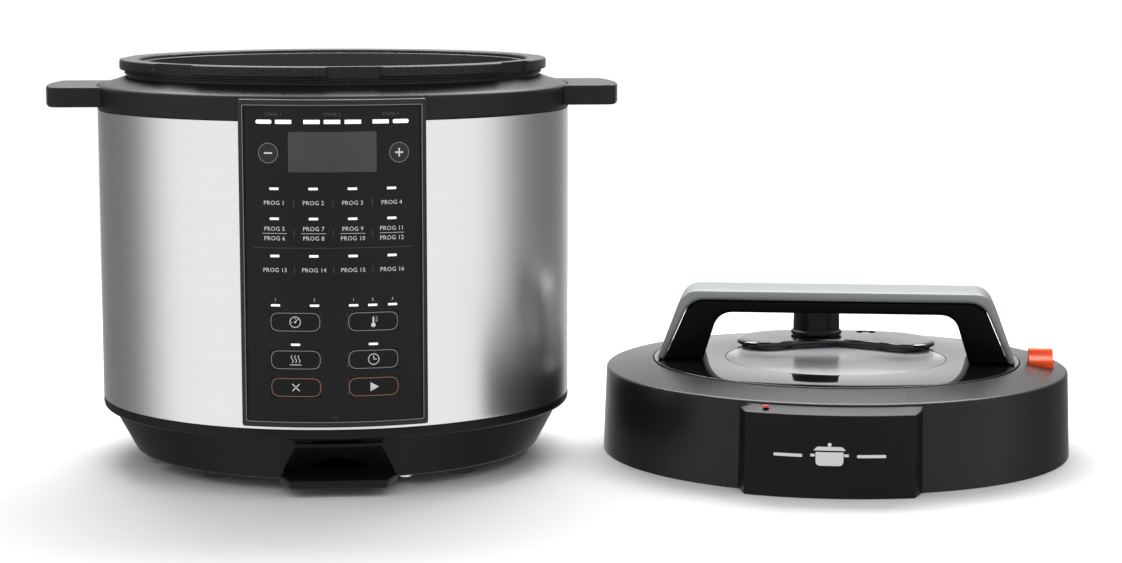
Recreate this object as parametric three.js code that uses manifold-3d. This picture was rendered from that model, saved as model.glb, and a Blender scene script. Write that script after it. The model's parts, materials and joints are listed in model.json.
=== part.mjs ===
// Electric pressure cooker, open, with its lid laid on the table beside it.
// Millimetres, +Z up, front towards -Y. The origin is on the table, under the middle of the pair.

import * as THREE from "three";
import { mergeVertices } from "three/addons/utils/BufferGeometryUtils.js";
import Module from "manifold-3d";

const wasm = await Module();
wasm.setup();

// Where the two assemblies stand, and how far each is turned about its axis, in degrees.
const BASE_AT = [-136, -14.16, 0];
const BASE_TURN = 5;
const LID_AT = [163.6, -2.16, 0];
const LID_TURN = -6;

// Driving dimensions shared by several pieces.
const GAP = 0.3;
const SIDES = 40;
const FEW_SIDES = 14;
const BODY_R = 138;
const BODY_LOW = 38;
const BODY_HIGH = 207.5;
const FLOOR_Z = 7;
const COLLAR_R = 138.5;
const COLLAR_TOP = 221;
const RING_LIP = { inner: 113.4, outer: 125, low: 230.2, high: 236 };
const NECK_R = 121;
const CHAMBER_R = 116.8;
const POT_R = 112;
const POT_LOW = 84;
const PLATE_TOP = 83.7;

// Bayonet: notches in the ring's lip and lugs inside the lid.
const LUGS = 7;
const LUG_WIDTH = 9;
const NOTCH_WIDTH = 13;
const FIRST_NOTCH = -85;
const FIRST_LUG = FIRST_NOTCH + BASE_TURN - LID_TURN;

// Control panel, measured along the body's curve from the panel's own centre line.
const PANEL_X = -1.5;
const PANEL_R = 140.6;
const BEZEL = { half: 52.5, low: 40, high: 219.5, inner: 138.3, outer: 141.5 };
const OVERLAY = { half: 48, low: 42.6, high: 215.5, inner: 138.6 };
const DISPLAY = { half: 24.1, low: 180, high: 202 };
const KEY = { half: 13.85, tall: 5.3, inner: 138.9, outer: 140.9 };
const ROUND_KEYS = { minus: -35, plus: 36.4 };
const ROUND_KEY = { r: 5.6, z: 190.4 };
const KEY_X = 21.2;
const KEY_ROWS = { upper: 98.4, middle: 77.6, lower: 62.4 };

// Lid.
const SKIRT_R = 140;
const CREASE = { r: 137.4, z: 50.1 };
const WELL = { r: 109.8, z: 54.6 };
const TOP_PANEL = { r: 109.4, low: 52.2, high: 54.8 };
const DISC_R = 66;
const BADGE = { r: 152, half: 47, rootHalf: 51.5, high: 46.6, rootHigh: 49, turn: -1 };
const HANDLE_DEEP = 21.5;
const PIPE = [-12, 57];
const FLOAT = [19, 70];
const BUTTON = [122, -3];
const LID_PLATE = { r: 129, wall: 2, low: 4, under: 22, top: 24 };
const LEVER = { tip: [108, -3], low: 40.7, high: 43.7, ratio: 0.75 };
const SHIELD = { low: 55.1, step: 57.2, high: 60.2 };

// ---------------------------------------------------------------- materials

const finish = (color, roughness, metalness = 0) =>
  new THREE.MeshStandardMaterial({ color, roughness, metalness });
const BRUSHED_STEEL = finish(0xb9babc, 0.36, 1);
const BRIGHT_STEEL = finish(0xc8c9cb, 0.25, 1);
const BLACK_SATIN = finish(0x242528, 0.45);
const BLACK_COATED = finish(0x1b1b1d, 0.6);
const PANEL_BLACK = finish(0x2d2d2f, 0.35);
const DISPLAY_GREY = finish(0x525254, 0.2);
const LID_GREY = finish(0x2f3134, 0.42);
const GLOSS_BLACK = finish(0x151618, 0.08);
const SILVER = finish(0xb4b6b8, 0.38, 0.8);
const ORANGE = finish(0xe85a20, 0.45);
const SILICONE = finish(0xd9d8d2, 0.6);
const RUBBER = finish(0x161617, 0.8);
const BOARD_GREEN = finish(0x2c5b3c, 0.6);
const ALUMINIUM = finish(0xa9abad, 0.45, 0.9);
const CLEAR = finish(0xc9ced2, 0.15);
const DARK_POT = finish(0x3a3a3c, 0.5, 0.4);

// ---------------------------------------------------------------- shape helpers

// A closed geometry as a solid whose faces point out.
function solid(geometry) {
  const bare = geometry.index ? geometry.toNonIndexed() : geometry.clone();
  bare.deleteAttribute("normal");
  bare.deleteAttribute("uv");
  const merged = mergeVertices(bare, 1e-4);
  const corners = [];
  for (let i = 0; i < merged.index.count; i += 3) {
    const [a, b, c] = [0, 1, 2].map((k) => merged.index.getX(i + k));
    if (a !== b && b !== c && c !== a) corners.push([a, b, c]);
  }
  const make = (faces) =>
    new wasm.Manifold(
      new wasm.Mesh({
        numProp: 3,
        vertProperties: merged.attributes.position.array,
        triVerts: new Uint32Array(faces.flat()),
      }),
    );
  const made = make(corners);
  return made.volume() > 0 ? made : make(corners.map(([a, b, c]) => [a, c, b]));
}

// An outline of [radius, height] points turned about the Z axis.
function turned(outline, sides = SIDES) {
  const points = outline.map(([r, z]) => new THREE.Vector2(r, z));
  const endsOnAxis = points[0].x === 0 && points.at(-1).x === 0;
  if (!endsOnAxis) points.push(points[0].clone());
  return solid(new THREE.LatheGeometry(points, sides).rotateX(Math.PI / 2));
}

// A box between two corners.
function block([x0, y0, z0], [x1, y1, z1]) {
  const box = new THREE.BoxGeometry(x1 - x0, y1 - y0, z1 - z0);
  return solid(box.translate((x0 + x1) / 2, (y0 + y1) / 2, (z0 + z1) / 2));
}

// An upright round rod at [x, y].
function rod([x, y], r, z0, z1, sides = FEW_SIDES) {
  const round = new THREE.CylinderGeometry(r, r, z1 - z0, sides);
  return solid(round.rotateX(Math.PI / 2).translate(x, y, (z0 + z1) / 2));
}

// A plan outline (THREE.Shape) raised from z0 to z1.
function raised(shape, z0, z1, curveSegments = 10) {
  const options = { depth: z1 - z0, bevelEnabled: false, curveSegments };
  return solid(new THREE.ExtrudeGeometry(shape, options).translate(0, 0, z0));
}

// A front-view outline (x across, y up) given a depth from y0 to y1.
function across(shape, y0, y1, curveSegments = 8) {
  const options = { depth: y1 - y0, bevelEnabled: false, curveSegments };
  const flat = new THREE.ExtrudeGeometry(shape, options);
  return solid(flat.rotateX(Math.PI / 2).translate(0, y1, 0));
}

// A straight-sided outline.
function outline(points) {
  return new THREE.Shape(points.map(([x, y]) => new THREE.Vector2(x, y)));
}

// A slice of a ring between two angles in degrees.
function slice(r0, r1, from, to, z0, z1) {
  const [a, b] = [from, to].map(THREE.MathUtils.degToRad);
  const shape = new THREE.Shape();
  shape.absarc(0, 0, r1, a, b, false);
  shape.absarc(0, 0, r0, b, a, true);
  return raised(shape, z0, z1, Math.max(1, Math.ceil((to - from) / 6)));
}

// A piece of the body's curved wall: x0 to x1 along the curve, facing -90 (front) or 90 (rear).
function wall(facing, x0, x1, z0, z1, r0, r1) {
  const centre = facing < 0 ? PANEL_X : 0;
  const angle = (x) => facing + THREE.MathUtils.radToDeg((x + centre) / PANEL_R);
  return slice(r0, r1, angle(x0), angle(x1), z0, z1);
}

// A round rod that points straight out of the panel.
function panelRod(x, z, r, r0, r1) {
  const angle = (x + PANEL_X) / PANEL_R;
  const round = new THREE.CylinderGeometry(r, r, r1 - r0, FEW_SIDES);
  round.translate(0, -(r0 + r1) / 2, 0).rotateZ(angle).translate(0, 0, z);
  return solid(round);
}

// A coil spring standing on z0.
function spring([x, y], radius, wire, z0, z1, turns) {
  const points = [];
  const perTurn = 8;
  const steps = turns * perTurn;
  for (let i = 0; i <= steps; i += 1) {
    const angle = (i / perTurn) * 2 * Math.PI;
    const z = z0 + wire + ((z1 - z0 - 2 * wire) * i) / steps;
    points.push(new THREE.Vector3(x + radius * Math.cos(angle), y + radius * Math.sin(angle), z));
  }
  const section = new THREE.Shape();
  section.absarc(0, 0, wire, 0, 2 * Math.PI, false);
  const extrudePath = new THREE.CatmullRomCurve3(points);
  const options = { steps, curveSegments: 2, extrudePath };
  return solid(new THREE.ExtrudeGeometry(section, options));
}

function joined(...solids) {
  return solids.reduce((all, next) => all.add(next));
}

function cut(body, ...tools) {
  return tools.reduce((left, tool) => left.subtract(tool), body);
}

// Adds a named mesh to a group, at a place and turned about Z.
function add(group, name, body, material, place = [0, 0, 0], turn = 0) {
  const { numProp, vertProperties, triVerts } = body.getMesh();
  const geometry = new THREE.BufferGeometry();
  const positions = new THREE.InterleavedBuffer(new Float32Array(vertProperties), numProp);
  geometry.setAttribute("position", new THREE.InterleavedBufferAttribute(positions, 3, 0));
  geometry.setIndex(new THREE.BufferAttribute(new Uint32Array(triVerts), 1));
  const flat = geometry.toNonIndexed();
  flat.computeVertexNormals();
  const mesh = new THREE.Mesh(flat, material);
  mesh.name = name;
  mesh.position.set(...place);
  mesh.rotation.z = turn;
  group.add(mesh);
}

// The same thing made at equal angles round the axis, in degrees from a first angle.
function around(count, first, make) {
  return Array.from({ length: count }, (_, i) => make(first + (360 * i) / count));
}

function polar(r, degrees) {
  const angle = THREE.MathUtils.degToRad(degrees);
  return [r * Math.cos(angle), r * Math.sin(angle)];
}

// ---------------------------------------------------------------- base: outer covers

const INLET = { half: 16, low: 46, high: 72 };

function steelShell() {
  const thick = 1.2;
  const low = BODY_LOW + GAP;
  const high = BODY_HIGH - GAP;
  const skin = turned([[BODY_R - thick, low], [BODY_R, low], [BODY_R, high], [BODY_R - thick, high]]);
  const panelWindow = block([-46, -150, 52], [44, -100, 204]);
  const inletWindow = block([-INLET.half - GAP, 110, INLET.low - GAP], [INLET.half + GAP, 150, INLET.high + GAP]);
  return cut(skin, panelWindow, inletWindow);
}

function topCollar() {
  const skin = turned([
    [COLLAR_R, BODY_HIGH], [COLLAR_R, 219.8], [137.3, COLLAR_TOP], [NECK_R + 0.4, 226],
    [NECK_R + 0.4, 223], [135.5, 218.2], [135.5, BODY_HIGH],
  ]);
  const bezelSeat = wall(-90, -BEZEL.half - GAP, BEZEL.half + GAP, 200, BEZEL.high + GAP, 138, 145);
  return cut(skin, bezelSeat);
}

// A side handle whose end is an arc round the axis, made on the right and turned half round for the left.
function sideHandle() {
  const reach = 167.5;
  const half = 40;
  const low = 209.5;
  const end = [-11.5, -7, -2.5, 2.5, 7, 11.5].map((at) => polar(reach, at));
  const corner = [[125, half], [154, half], [160, half - 2.6], [163.2, half - 5.2]];
  const front = corner.map(([x, y]) => [x, -y]);
  const body = rod([0, 0], COLLAR_R + GAP, 200, 230, SIDES);
  return cut(raised(outline([...front, ...end, ...corner.reverse()]), low, COLLAR_TOP), body);
}

function lockRing() {
  const { inner, outer, low, high } = RING_LIP;
  const ring = turned([
    [inner, low + 0.3], [inner, high - 1], [inner + 1, high], [outer - 1, high], [outer, high - 1],
    [outer, low], [NECK_R, low], [NECK_R, 226.3], [120.8, 204], [117.6, 204], [117.6, low + 0.3],
  ]);
  const notches = around(LUGS, FIRST_NOTCH, (at) =>
    slice(122.4, outer + 2, at - NOTCH_WIDTH / 2, at + NOTCH_WIDTH / 2, low - 0.1, high + 1));
  return cut(ring, ...notches);
}

// Radius of the cone that carries the base down to the table.
function coneRadius(z) {
  return 119.4 + ((z - 7.6) * (132.5 - 119.4)) / (32 - 7.6);
}

const SCREWS_AT = { r: 110, first: 20 };

function baseHousing() {
  const shell = turned([
    [BODY_R, BODY_LOW], [BODY_R, 34.5], [136.6, 32.4], [132.5, 32], [119.4, 7.6], [118.4, FLOOR_Z],
    [116, FLOOR_Z], [116, 9.3], [104, 9.3], [104, 12.3], [117.5, 12.3], [129.3, 35], [134.5, 36.3],
    [134.5, BODY_LOW],
  ]);
  const tab = raised(outline([[-33, -110], [-26, -136], [26, -136], [33, -110]]), 5, 9.6);
  const inside = rod([0, 0], 117, 0, 20, SIDES);
  const scoopDepth = 1.6;
  const scoopSkin = turned([
    [coneRadius(11.5) - scoopDepth, 11.5], [140, 11.5], [140, 27.5], [coneRadius(27.5) - scoopDepth, 27.5],
  ]);
  const scoop = across(outline([[-31.5, 11.5], [31.5, 11.5], [24, 27.5], [-24, 27.5]]), -150, -100);
  const pilots = around(4, SCREWS_AT.first, (at) => rod(polar(SCREWS_AT.r, at), 2, 5, 20, 12));
  return cut(joined(shell, cut(tab, inside)), scoopSkin.intersect(scoop), ...pilots);
}

function bottomPlate() {
  const plate = rod([0, 0], 115.6, FLOOR_Z, 9, SIDES);
  const posts = [[-36, -22], [36, -22], [36, 22], [-36, 22]].map((at) => rod(at, 3, 8, 13.7, 10));
  const holes = around(4, SCREWS_AT.first, (at) => rod(polar(SCREWS_AT.r, at), 2.1, 5, 20, 12));
  const vents = [-2, -1, 1, 2].map((row) => block([-30, row * 14 + 56, 0], [30, row * 14 + 60, 20]));
  return cut(joined(plate, ...posts), ...holes, ...vents);
}

function bottomScrew() {
  return turned([[0, 5], [3.4, 5], [3.4, 6.7], [1.7, 6.7], [1.7, 14], [0, 14]], 12);
}

function foot() {
  return turned([[0, 0], [8, 0], [9, 1], [9, FLOOR_Z - GAP], [0, FLOOR_Z - GAP]], 14);
}

// ---------------------------------------------------------------- base: cooking side

function heatingChamber() {
  const thick = 1.2;
  const r = CHAMBER_R;
  return turned([
    [40, 62], [r, 62], [r, 229.6], [r - thick, 229.6], [r - thick, 62 + thick], [40, 62 + thick],
  ]);
}

function innerPot() {
  return turned([
    [0, POT_LOW], [105, POT_LOW], [110, 85.7], [POT_R, 91], [POT_R, 232.2], [112.8, 233], [112.6, 234],
    [110.4, 234], [110.4, 91.5], [109, 88.2], [104.5, 86.4], [0, 86.4],
  ]);
}

function heatingPlate() {
  return turned([
    [6, 65.5], [20, 65.5], [20, 70], [60, 70], [60, 63.5], [66, 63.5], [66, 70], [86, 70], [88, 72],
    [88, 81.5], [85, PLATE_TOP], [15, PLATE_TOP], [15, 67.5], [6, 67.5],
  ], 30);
}

function sensorCap() {
  return turned([[0, 58], [4, 58], [4, 78.5], [14, 78.5], [14, 82.6], [13, 83.6], [0, 83.6]], 24);
}

function thermalFuse() {
  return joined(block([70, -4, 66], [82, 4, 69.6]), block([72, -9, 66.8], [80, 9, 68]));
}

function pressureSwitch() {
  return joined(block([44, -10, 42], [60, 10, 56]), rod([52, 0], 2.5, 55, 61.7, 12));
}

// ---------------------------------------------------------------- base: electrics

function powerBoard() {
  const board = block([-42, -28, 14], [42, 28, 15.6]);
  const transformer = block([-34, -18, 15], [-10, 6, 36]);
  const relay = block([6, 2, 15], [26, 18, 31]);
  const sink = block([30, -22, 15], [34, 20, 38]);
  const capacitors = [[-2, -16], [14, -16]].map((at) => rod(at, 6, 15, 35, 14));
  return joined(board, transformer, relay, sink, ...capacitors);
}

// Three-pin mains socket with a thin flange outside the steel.
function powerInlet() {
  const { half, low, high } = INLET;
  const body = block([-half, 117.6, low], [half, 139.4, high]);
  const flange = block([-half - 4, 138.4, low - 3], [half + 4, 140.2, high + 3]);
  const mouth = across(
    outline([[-12, 51], [12, 51], [12, 63], [8, 67], [-8, 67], [-12, 63]]), 122, 150);
  const pins = [[-7, 56], [7, 56], [0, 60]].map(([x, z]) => block([x - 1, 121, z - 2], [x + 1, 137, z + 2]));
  return joined(cut(joined(body, flange), mouth), ...pins);
}

function controlBoard() {
  const board = block([-42, -126, 58], [40, -124.4, 200]);
  const chips = [[-20, 80], [10, 120], [-12, 160]].map(([x, z]) =>
    block([x, -125, z], [x + 14, -121, z + 14]));
  const displayBox = block([-24, -133, 178], [22, -125, 200]);
  return joined(board, ...chips, displayBox);
}

// ---------------------------------------------------------------- base: control panel

function panelBezel() {
  const { half, low, high, inner, outer } = BEZEL;
  const opening = [OVERLAY.half + GAP, OVERLAY.low - GAP, OVERLAY.high + GAP];
  return cut(
    wall(-90, -half, half, low, high, inner, outer),
    wall(-90, -opening[0], opening[0], opening[1], opening[2], inner - 1, outer + 1));
}

const keyPlaces = [
  ["key_pressure", -KEY_X, KEY_ROWS.upper], ["key_temp", KEY_X, KEY_ROWS.upper],
  ["key_keep_warm", -KEY_X, KEY_ROWS.middle], ["key_delay", KEY_X, KEY_ROWS.middle],
  ["key_cancel", -KEY_X, KEY_ROWS.lower], ["key_start", KEY_X, KEY_ROWS.lower],
];

function panelOverlay() {
  const sheet = wall(-90, -OVERLAY.half, OVERLAY.half, OVERLAY.low, OVERLAY.high, OVERLAY.inner, PANEL_R);
  const display = wall(
    -90, -DISPLAY.half - GAP, DISPLAY.half + GAP, DISPLAY.low - GAP, DISPLAY.high + GAP, 136, 143);
  const keyHoles = keyPlaces.map(([, x, z]) => wall(
    -90, x - KEY.half - GAP, x + KEY.half + GAP, z - KEY.tall - GAP, z + KEY.tall + GAP, 136, 143));
  const roundHoles = Object.values(ROUND_KEYS).map((x) =>
    panelRod(x, ROUND_KEY.z, ROUND_KEY.r + GAP, 136, 143));
  return cut(sheet, display, ...keyHoles, ...roundHoles);
}

function displayWindow() {
  return wall(-90, -DISPLAY.half, DISPLAY.half, DISPLAY.low, DISPLAY.high, KEY.inner, PANEL_R);
}

function wideKey(x, z) {
  return wall(-90, x - KEY.half, x + KEY.half, z - KEY.tall, z + KEY.tall, KEY.inner, KEY.outer);
}

// ---------------------------------------------------------------- base: condensation cup

const CUP = { half: 28, back: 142.4, front: 168, low: 152, high: 199, wall: 1.8, pegZ: 190, pegX: 16 };

function collectorBracket() {
  const plate = wall(90, -24, 24, 150, 205, BODY_R + GAP, 140.6);
  const spout = block([-7, 138.5, 200.5], [7, 156, 204]);
  const pegs = [-CUP.pegX, CUP.pegX].map((x) => {
    const peg = new THREE.CylinderGeometry(2.4, 2.4, 7, 12).translate(x, 141.3, CUP.pegZ);
    return solid(peg);
  });
  return joined(plate, cut(spout, rod([0, 0], 139, 190, 210, SIDES)), ...pegs);
}

function condensationCollector() {
  const { half, back, front, low, high, wall: thick } = CUP;
  const outer = block([-half, back, low], [half, front, high]);
  const inner = block([-half + thick, back + thick, low + thick], [half - thick, front - thick, high + 5]);
  const pegHoles = [-CUP.pegX, CUP.pegX].map((x) => {
    const hole = new THREE.CylinderGeometry(2.9, 2.9, 10, 12).translate(x, back, CUP.pegZ);
    return solid(hole);
  });
  return cut(outer, inner, ...pegHoles);
}

// ---------------------------------------------------------------- lid: outer covers

function lidShell() {
  const shell = turned([
    [SKIRT_R, 0], [138.1, 49], [CREASE.r, CREASE.z], [WELL.r, WELL.z], [WELL.r, 51.9], [104, 51.9],
    [104, 49.9], [112, 49.9], [134.8, 46.6], [137, 0],
  ]);
  const [x, y] = BUTTON;
  return cut(shell, block([x - 7.6, y - 7.4, 40], [x + 7.6, y + 7.4, 60]));
}

function frontBadge() {
  const { r, half, rootHalf, high, rootHigh } = BADGE;
  const face = Math.asin(half / r);
  const rootR = 138;
  const root = Math.asin(rootHalf / SKIRT_R);
  const plan = new THREE.Shape();
  plan.absarc(0, 0, r, -Math.PI / 2 - face, -Math.PI / 2 + face, false);
  plan.absarc(0, 0, rootR, -Math.PI / 2 + root, -Math.PI / 2 - root, true);
  const envelope = turned([[0, 0], [r + 1, 0], [r + 1, high], [138.6, rootHigh], [0, rootHigh]]);
  const lidWall = turned([[0, -1], [SKIRT_R + GAP, -1], [138.1 + GAP, 49], [138.1 + GAP, 60], [0, 60]]);
  return cut(raised(plan, 0, 50, 6).intersect(envelope), lidWall);
}

function lockIndicator() {
  return turned([[0, 48.6], [2, 48.6], [1.8, 49.4], [0, 49.6]], 16);
}

function lidTopPanel() {
  const { r, low, high } = TOP_PANEL;
  const disc = turned([[0, low], [r, low], [r, high], [DISC_R + GAP, high], [DISC_R + GAP, 53.6], [0, 53.6]]);
  return cut(disc, rod(PIPE, 8.6, 50, 60), rod(FLOAT, 5, 50, 60));
}

function lidDisc() {
  return cut(rod([0, 0], DISC_R, 53.9, TOP_PANEL.high, SIDES), rod(PIPE, 8.6, 50, 60));
}

// Plan of the raised shield round the two valves, wavy towards the front.
function shieldPlan(scale) {
  const half = [
    [0, 37], [15, 33], [28, 26.5], [37, 21], [46, 19], [56, 25], [61, 38], [57, 58], [38, 75], [0, 80],
  ];
  const left = half.slice(1, -1).reverse().map(([x, y]) => [-x, y]);
  const centre = 48;
  const points = [...half, ...left].map(([x, y]) =>
    new THREE.Vector2(x * scale, centre + (y - centre) * scale));
  const curve = new THREE.SplineCurve([...points, points[0]]);
  return new THREE.Shape(curve.getPoints(40).slice(0, -1));
}

function valveShield() {
  const plinth = raised(shieldPlan(0.95), SHIELD.low, SHIELD.step + 0.5);
  const top = raised(shieldPlan(1), SHIELD.step, SHIELD.high);
  return cut(joined(plinth, top), rod(PIPE, 8.6, 50, 70), rod(FLOAT, 6.3, 50, 70));
}

// Front view of an arch on two slanted legs. Each side is its foot's x, its shoulder's x and its top's
// height before the bends are rounded.
function handleArch(outer, inner, foot) {
  const shape = new THREE.Shape();
  const bend = 8;
  const side = ([footX, shoulderX, top]) => {
    const slope = (shoulderX - footX) / (top - foot);
    return { footX, shoulderX, top, lowX: shoulderX - slope * bend, lowZ: top - bend };
  };
  const out = side(outer);
  const under = side(inner);
  shape.moveTo(-out.footX, foot);
  shape.lineTo(-out.lowX, out.lowZ);
  shape.quadraticCurveTo(-out.shoulderX, out.top, -out.shoulderX + bend, out.top);
  shape.lineTo(out.shoulderX - bend, out.top);
  shape.quadraticCurveTo(out.shoulderX, out.top, out.lowX, out.lowZ);
  shape.lineTo(out.footX, foot);
  shape.lineTo(under.footX, foot);
  shape.lineTo(under.lowX, under.lowZ);
  shape.quadraticCurveTo(under.shoulderX, under.top, under.shoulderX - bend, under.top);
  shape.lineTo(-under.shoulderX + bend, under.top);
  shape.quadraticCurveTo(-under.shoulderX, under.top, -under.lowX, under.lowZ);
  shape.lineTo(-under.footX, foot);
  shape.closePath();
  return shape;
}

const HANDLE_FOOT = TOP_PANEL.high + GAP;

function handleTrim() {
  const arch = handleArch([106.6, 91, 97], [102.3, 86.6, 91.4], HANDLE_FOOT);
  return across(arch, -HANDLE_DEEP, HANDLE_DEEP, 6);
}

function handleCore() {
  const depth = HANDLE_DEEP - 1.5;
  return across(handleArch([102, 86.3, 91.1], [79, 70, 84], HANDLE_FOOT), -depth, depth, 6);
}

// ---------------------------------------------------------------- lid: pressure side

function lidPlate() {
  const { r, wall: thick, low, under, top } = LID_PLATE;
  const plate = turned([[0, under], [r - thick, under], [r - thick, low], [r, low], [r, top], [0, top]]);
  const lugs = around(LUGS, FIRST_LUG, (at) =>
    slice(123, r - thick / 2, at - LUG_WIDTH / 2, at + LUG_WIDTH / 2, low, 6.9));
  return cut(joined(plate, ...lugs), rod(PIPE, 4.4, 10, 30), rod(FLOAT, 4.6, 10, 30));
}

function sealingRing() {
  return turned([[105, 12.3], [110, 12.3], [112.4, 14], [112.4, 21.7], [105, 21.7], [108, 17]], 36);
}

function ringRack() {
  return turned([[101.4, 16], [102.8, 14.4], [104.2, 16], [102.8, 17.6]], 30);
}

function antiBlockShield() {
  const cup = turned([[0, 12.4], [11, 12.4], [11, 21.7], [10, 21.7], [10, 13.4], [0, 13.4]], 18);
  const slots = [0, 60, 120].map((at) => {
    const slot = new THREE.BoxGeometry(30, 3, 5).rotateZ(THREE.MathUtils.degToRad(at));
    return solid(slot.translate(0, 0, 17.5));
  });
  return cut(cup, ...slots);
}

function steamPipe() {
  return turned([[2.6, 15], [4, 15], [4, 24.3], [7, 24.3], [7, 28], [4, 28], [4, 77.5], [2.6, 77.5]], 12);
}

function steamValve() {
  return turned([
    [0, 79], [5, 79], [5, 44.2], [8, 44.2], [8, 60.9], [15.8, 60.9], [15.8, 62.9], [14.2, 63.7],
    [14.2, 81.5], [12.8, 83], [0, 83],
  ], 20);
}

function floatValve() {
  return turned([[0, 14.2], [4, 14.2], [4, 58.6], [3.2, 59.4], [0, 59.4]], 16);
}

function floatSeal() {
  return turned([[4.3, 15], [6.6, 15], [7.5, 17.5], [4.3, 17.5]], 16);
}

// The push tab: low in front, hollowed for the thumb and raised at the back, on a flange and a stem.
function releaseButton() {
  const profile = outline([
    [-7, 46], [7, 46], [7, 61.2], [6, 62], [2, 62], [-0.5, 58.4], [-5.6, 56.8], [-7, 55.4],
  ]);
  const tab = across(profile, -7.2, 7.2).rotate([0, 0, 90]);
  return joined(tab, block([-16, -7, 44], [9.5, 7, 46.5]), block([-3, -3, 41], [3, 3, 45]));
}

// The lever lies along its own X axis with the pin at its origin.
const leverVector = [PIPE[0] - LEVER.tip[0], PIPE[1] - LEVER.tip[1]];
const leverLength = Math.hypot(...leverVector);
const tipArm = leverLength / (1 + LEVER.ratio);
const valveArm = leverLength - tipArm;
const LEVER_TURN = Math.atan2(leverVector[1], leverVector[0]);
const LEVER_AT = [0, 1].map((i) => LEVER.tip[i] + (leverVector[i] * tipArm) / leverLength);
const PIN_Z = (LEVER.low + LEVER.high) / 2;

function acrossRod(r, half, sides = 14) {
  return solid(new THREE.CylinderGeometry(r, r, 2 * half, sides).translate(0, 0, PIN_Z));
}

function releaseLever() {
  const arm = block([-tipArm - 3, -4, LEVER.low], [valveArm - 6, 4, LEVER.high]);
  const fork = block([valveArm - 12, -10, LEVER.low], [valveArm + 9, 10, LEVER.high]);
  const slot = block([valveArm - 5.5, -4.8, 30], [valveArm + 20, 4.8, 50]);
  const boss = acrossRod(3.6, 4, 16);
  return cut(joined(arm, fork, boss), slot, acrossRod(1.8, 12));
}

function leverBracket() {
  const base = block([-8, -8, LID_PLATE.top + GAP], [8, 8, 26.5]);
  const ears = [-1, 1].map((side) =>
    block([-4, side * 6.2 - 1.3, 26], [4, side * 6.2 + 1.3, 46]));
  return cut(joined(base, ...ears), acrossRod(1.8, 12));
}

// ---------------------------------------------------------------- assembly

const cooker = new THREE.Group();
const base = new THREE.Group();
base.position.set(...BASE_AT);
base.rotation.z = THREE.MathUtils.degToRad(BASE_TURN);
const lid = new THREE.Group();
lid.position.set(...LID_AT);
lid.rotation.z = THREE.MathUtils.degToRad(LID_TURN);
cooker.add(base, lid);

add(base, "steel_shell", steelShell(), BRUSHED_STEEL);
add(base, "top_collar", topCollar(), BLACK_SATIN);
add(base, "handle_right", sideHandle(), BLACK_SATIN);
add(base, "handle_left", sideHandle(), BLACK_SATIN, [0, 0, 0], Math.PI);
add(base, "lock_ring", lockRing(), BLACK_COATED);
add(base, "base_housing", baseHousing(), BLACK_SATIN);
add(base, "bottom_plate", bottomPlate(), BLACK_SATIN);
around(4, SCREWS_AT.first, (at) => polar(SCREWS_AT.r, at)).forEach(([x, y], i) =>
  add(base, `bottom_screw_${i + 1}`, bottomScrew(), BRIGHT_STEEL, [x, y, 0]));
around(4, 45, (at) => polar(98, at)).forEach(([x, y], i) =>
  add(base, `foot_${i + 1}`, foot(), RUBBER, [x, y, 0]));

add(base, "heating_chamber", heatingChamber(), ALUMINIUM);
add(base, "inner_pot", innerPot(), DARK_POT);
add(base, "heating_plate", heatingPlate(), ALUMINIUM);
add(base, "sensor_cap", sensorCap(), BRIGHT_STEEL);
add(base, "sensor_spring", spring([0, 0], 9, 0.8, 67.8, 78.2, 3), BRIGHT_STEEL);
add(base, "thermal_fuse", thermalFuse(), SILICONE);
add(base, "pressure_switch", pressureSwitch(), BLACK_SATIN);

add(base, "power_board", powerBoard(), BOARD_GREEN);
add(base, "power_inlet", powerInlet(), BLACK_SATIN);
add(base, "control_board", controlBoard(), BOARD_GREEN);

add(base, "panel_bezel", panelBezel(), BLACK_SATIN);
add(base, "panel_overlay", panelOverlay(), PANEL_BLACK);
add(base, "display_window", displayWindow(), DISPLAY_GREY);
for (const [name, x] of Object.entries(ROUND_KEYS))
  add(base, `key_${name}`, panelRod(x, ROUND_KEY.z, ROUND_KEY.r, KEY.inner, KEY.outer), PANEL_BLACK);
for (const [name, x, z] of keyPlaces) add(base, name, wideKey(x, z), PANEL_BLACK);

add(base, "collector_bracket", collectorBracket(), BLACK_SATIN);
add(base, "condensation_collector", condensationCollector(), CLEAR);

add(lid, "lid_shell", lidShell(), LID_GREY);
add(lid, "front_badge", frontBadge(), LID_GREY, [0, 0, 0], THREE.MathUtils.degToRad(BADGE.turn));
add(lid, "lock_indicator", lockIndicator(), ORANGE, [...polar(144.5, -105.3), 0]);
add(lid, "lid_top_panel", lidTopPanel(), GLOSS_BLACK);
add(lid, "lid_disc", lidDisc(), BLACK_SATIN);
add(lid, "valve_shield", valveShield(), GLOSS_BLACK);
add(lid, "handle_trim", handleTrim(), SILVER);
add(lid, "handle_core", handleCore(), BLACK_SATIN);

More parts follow.
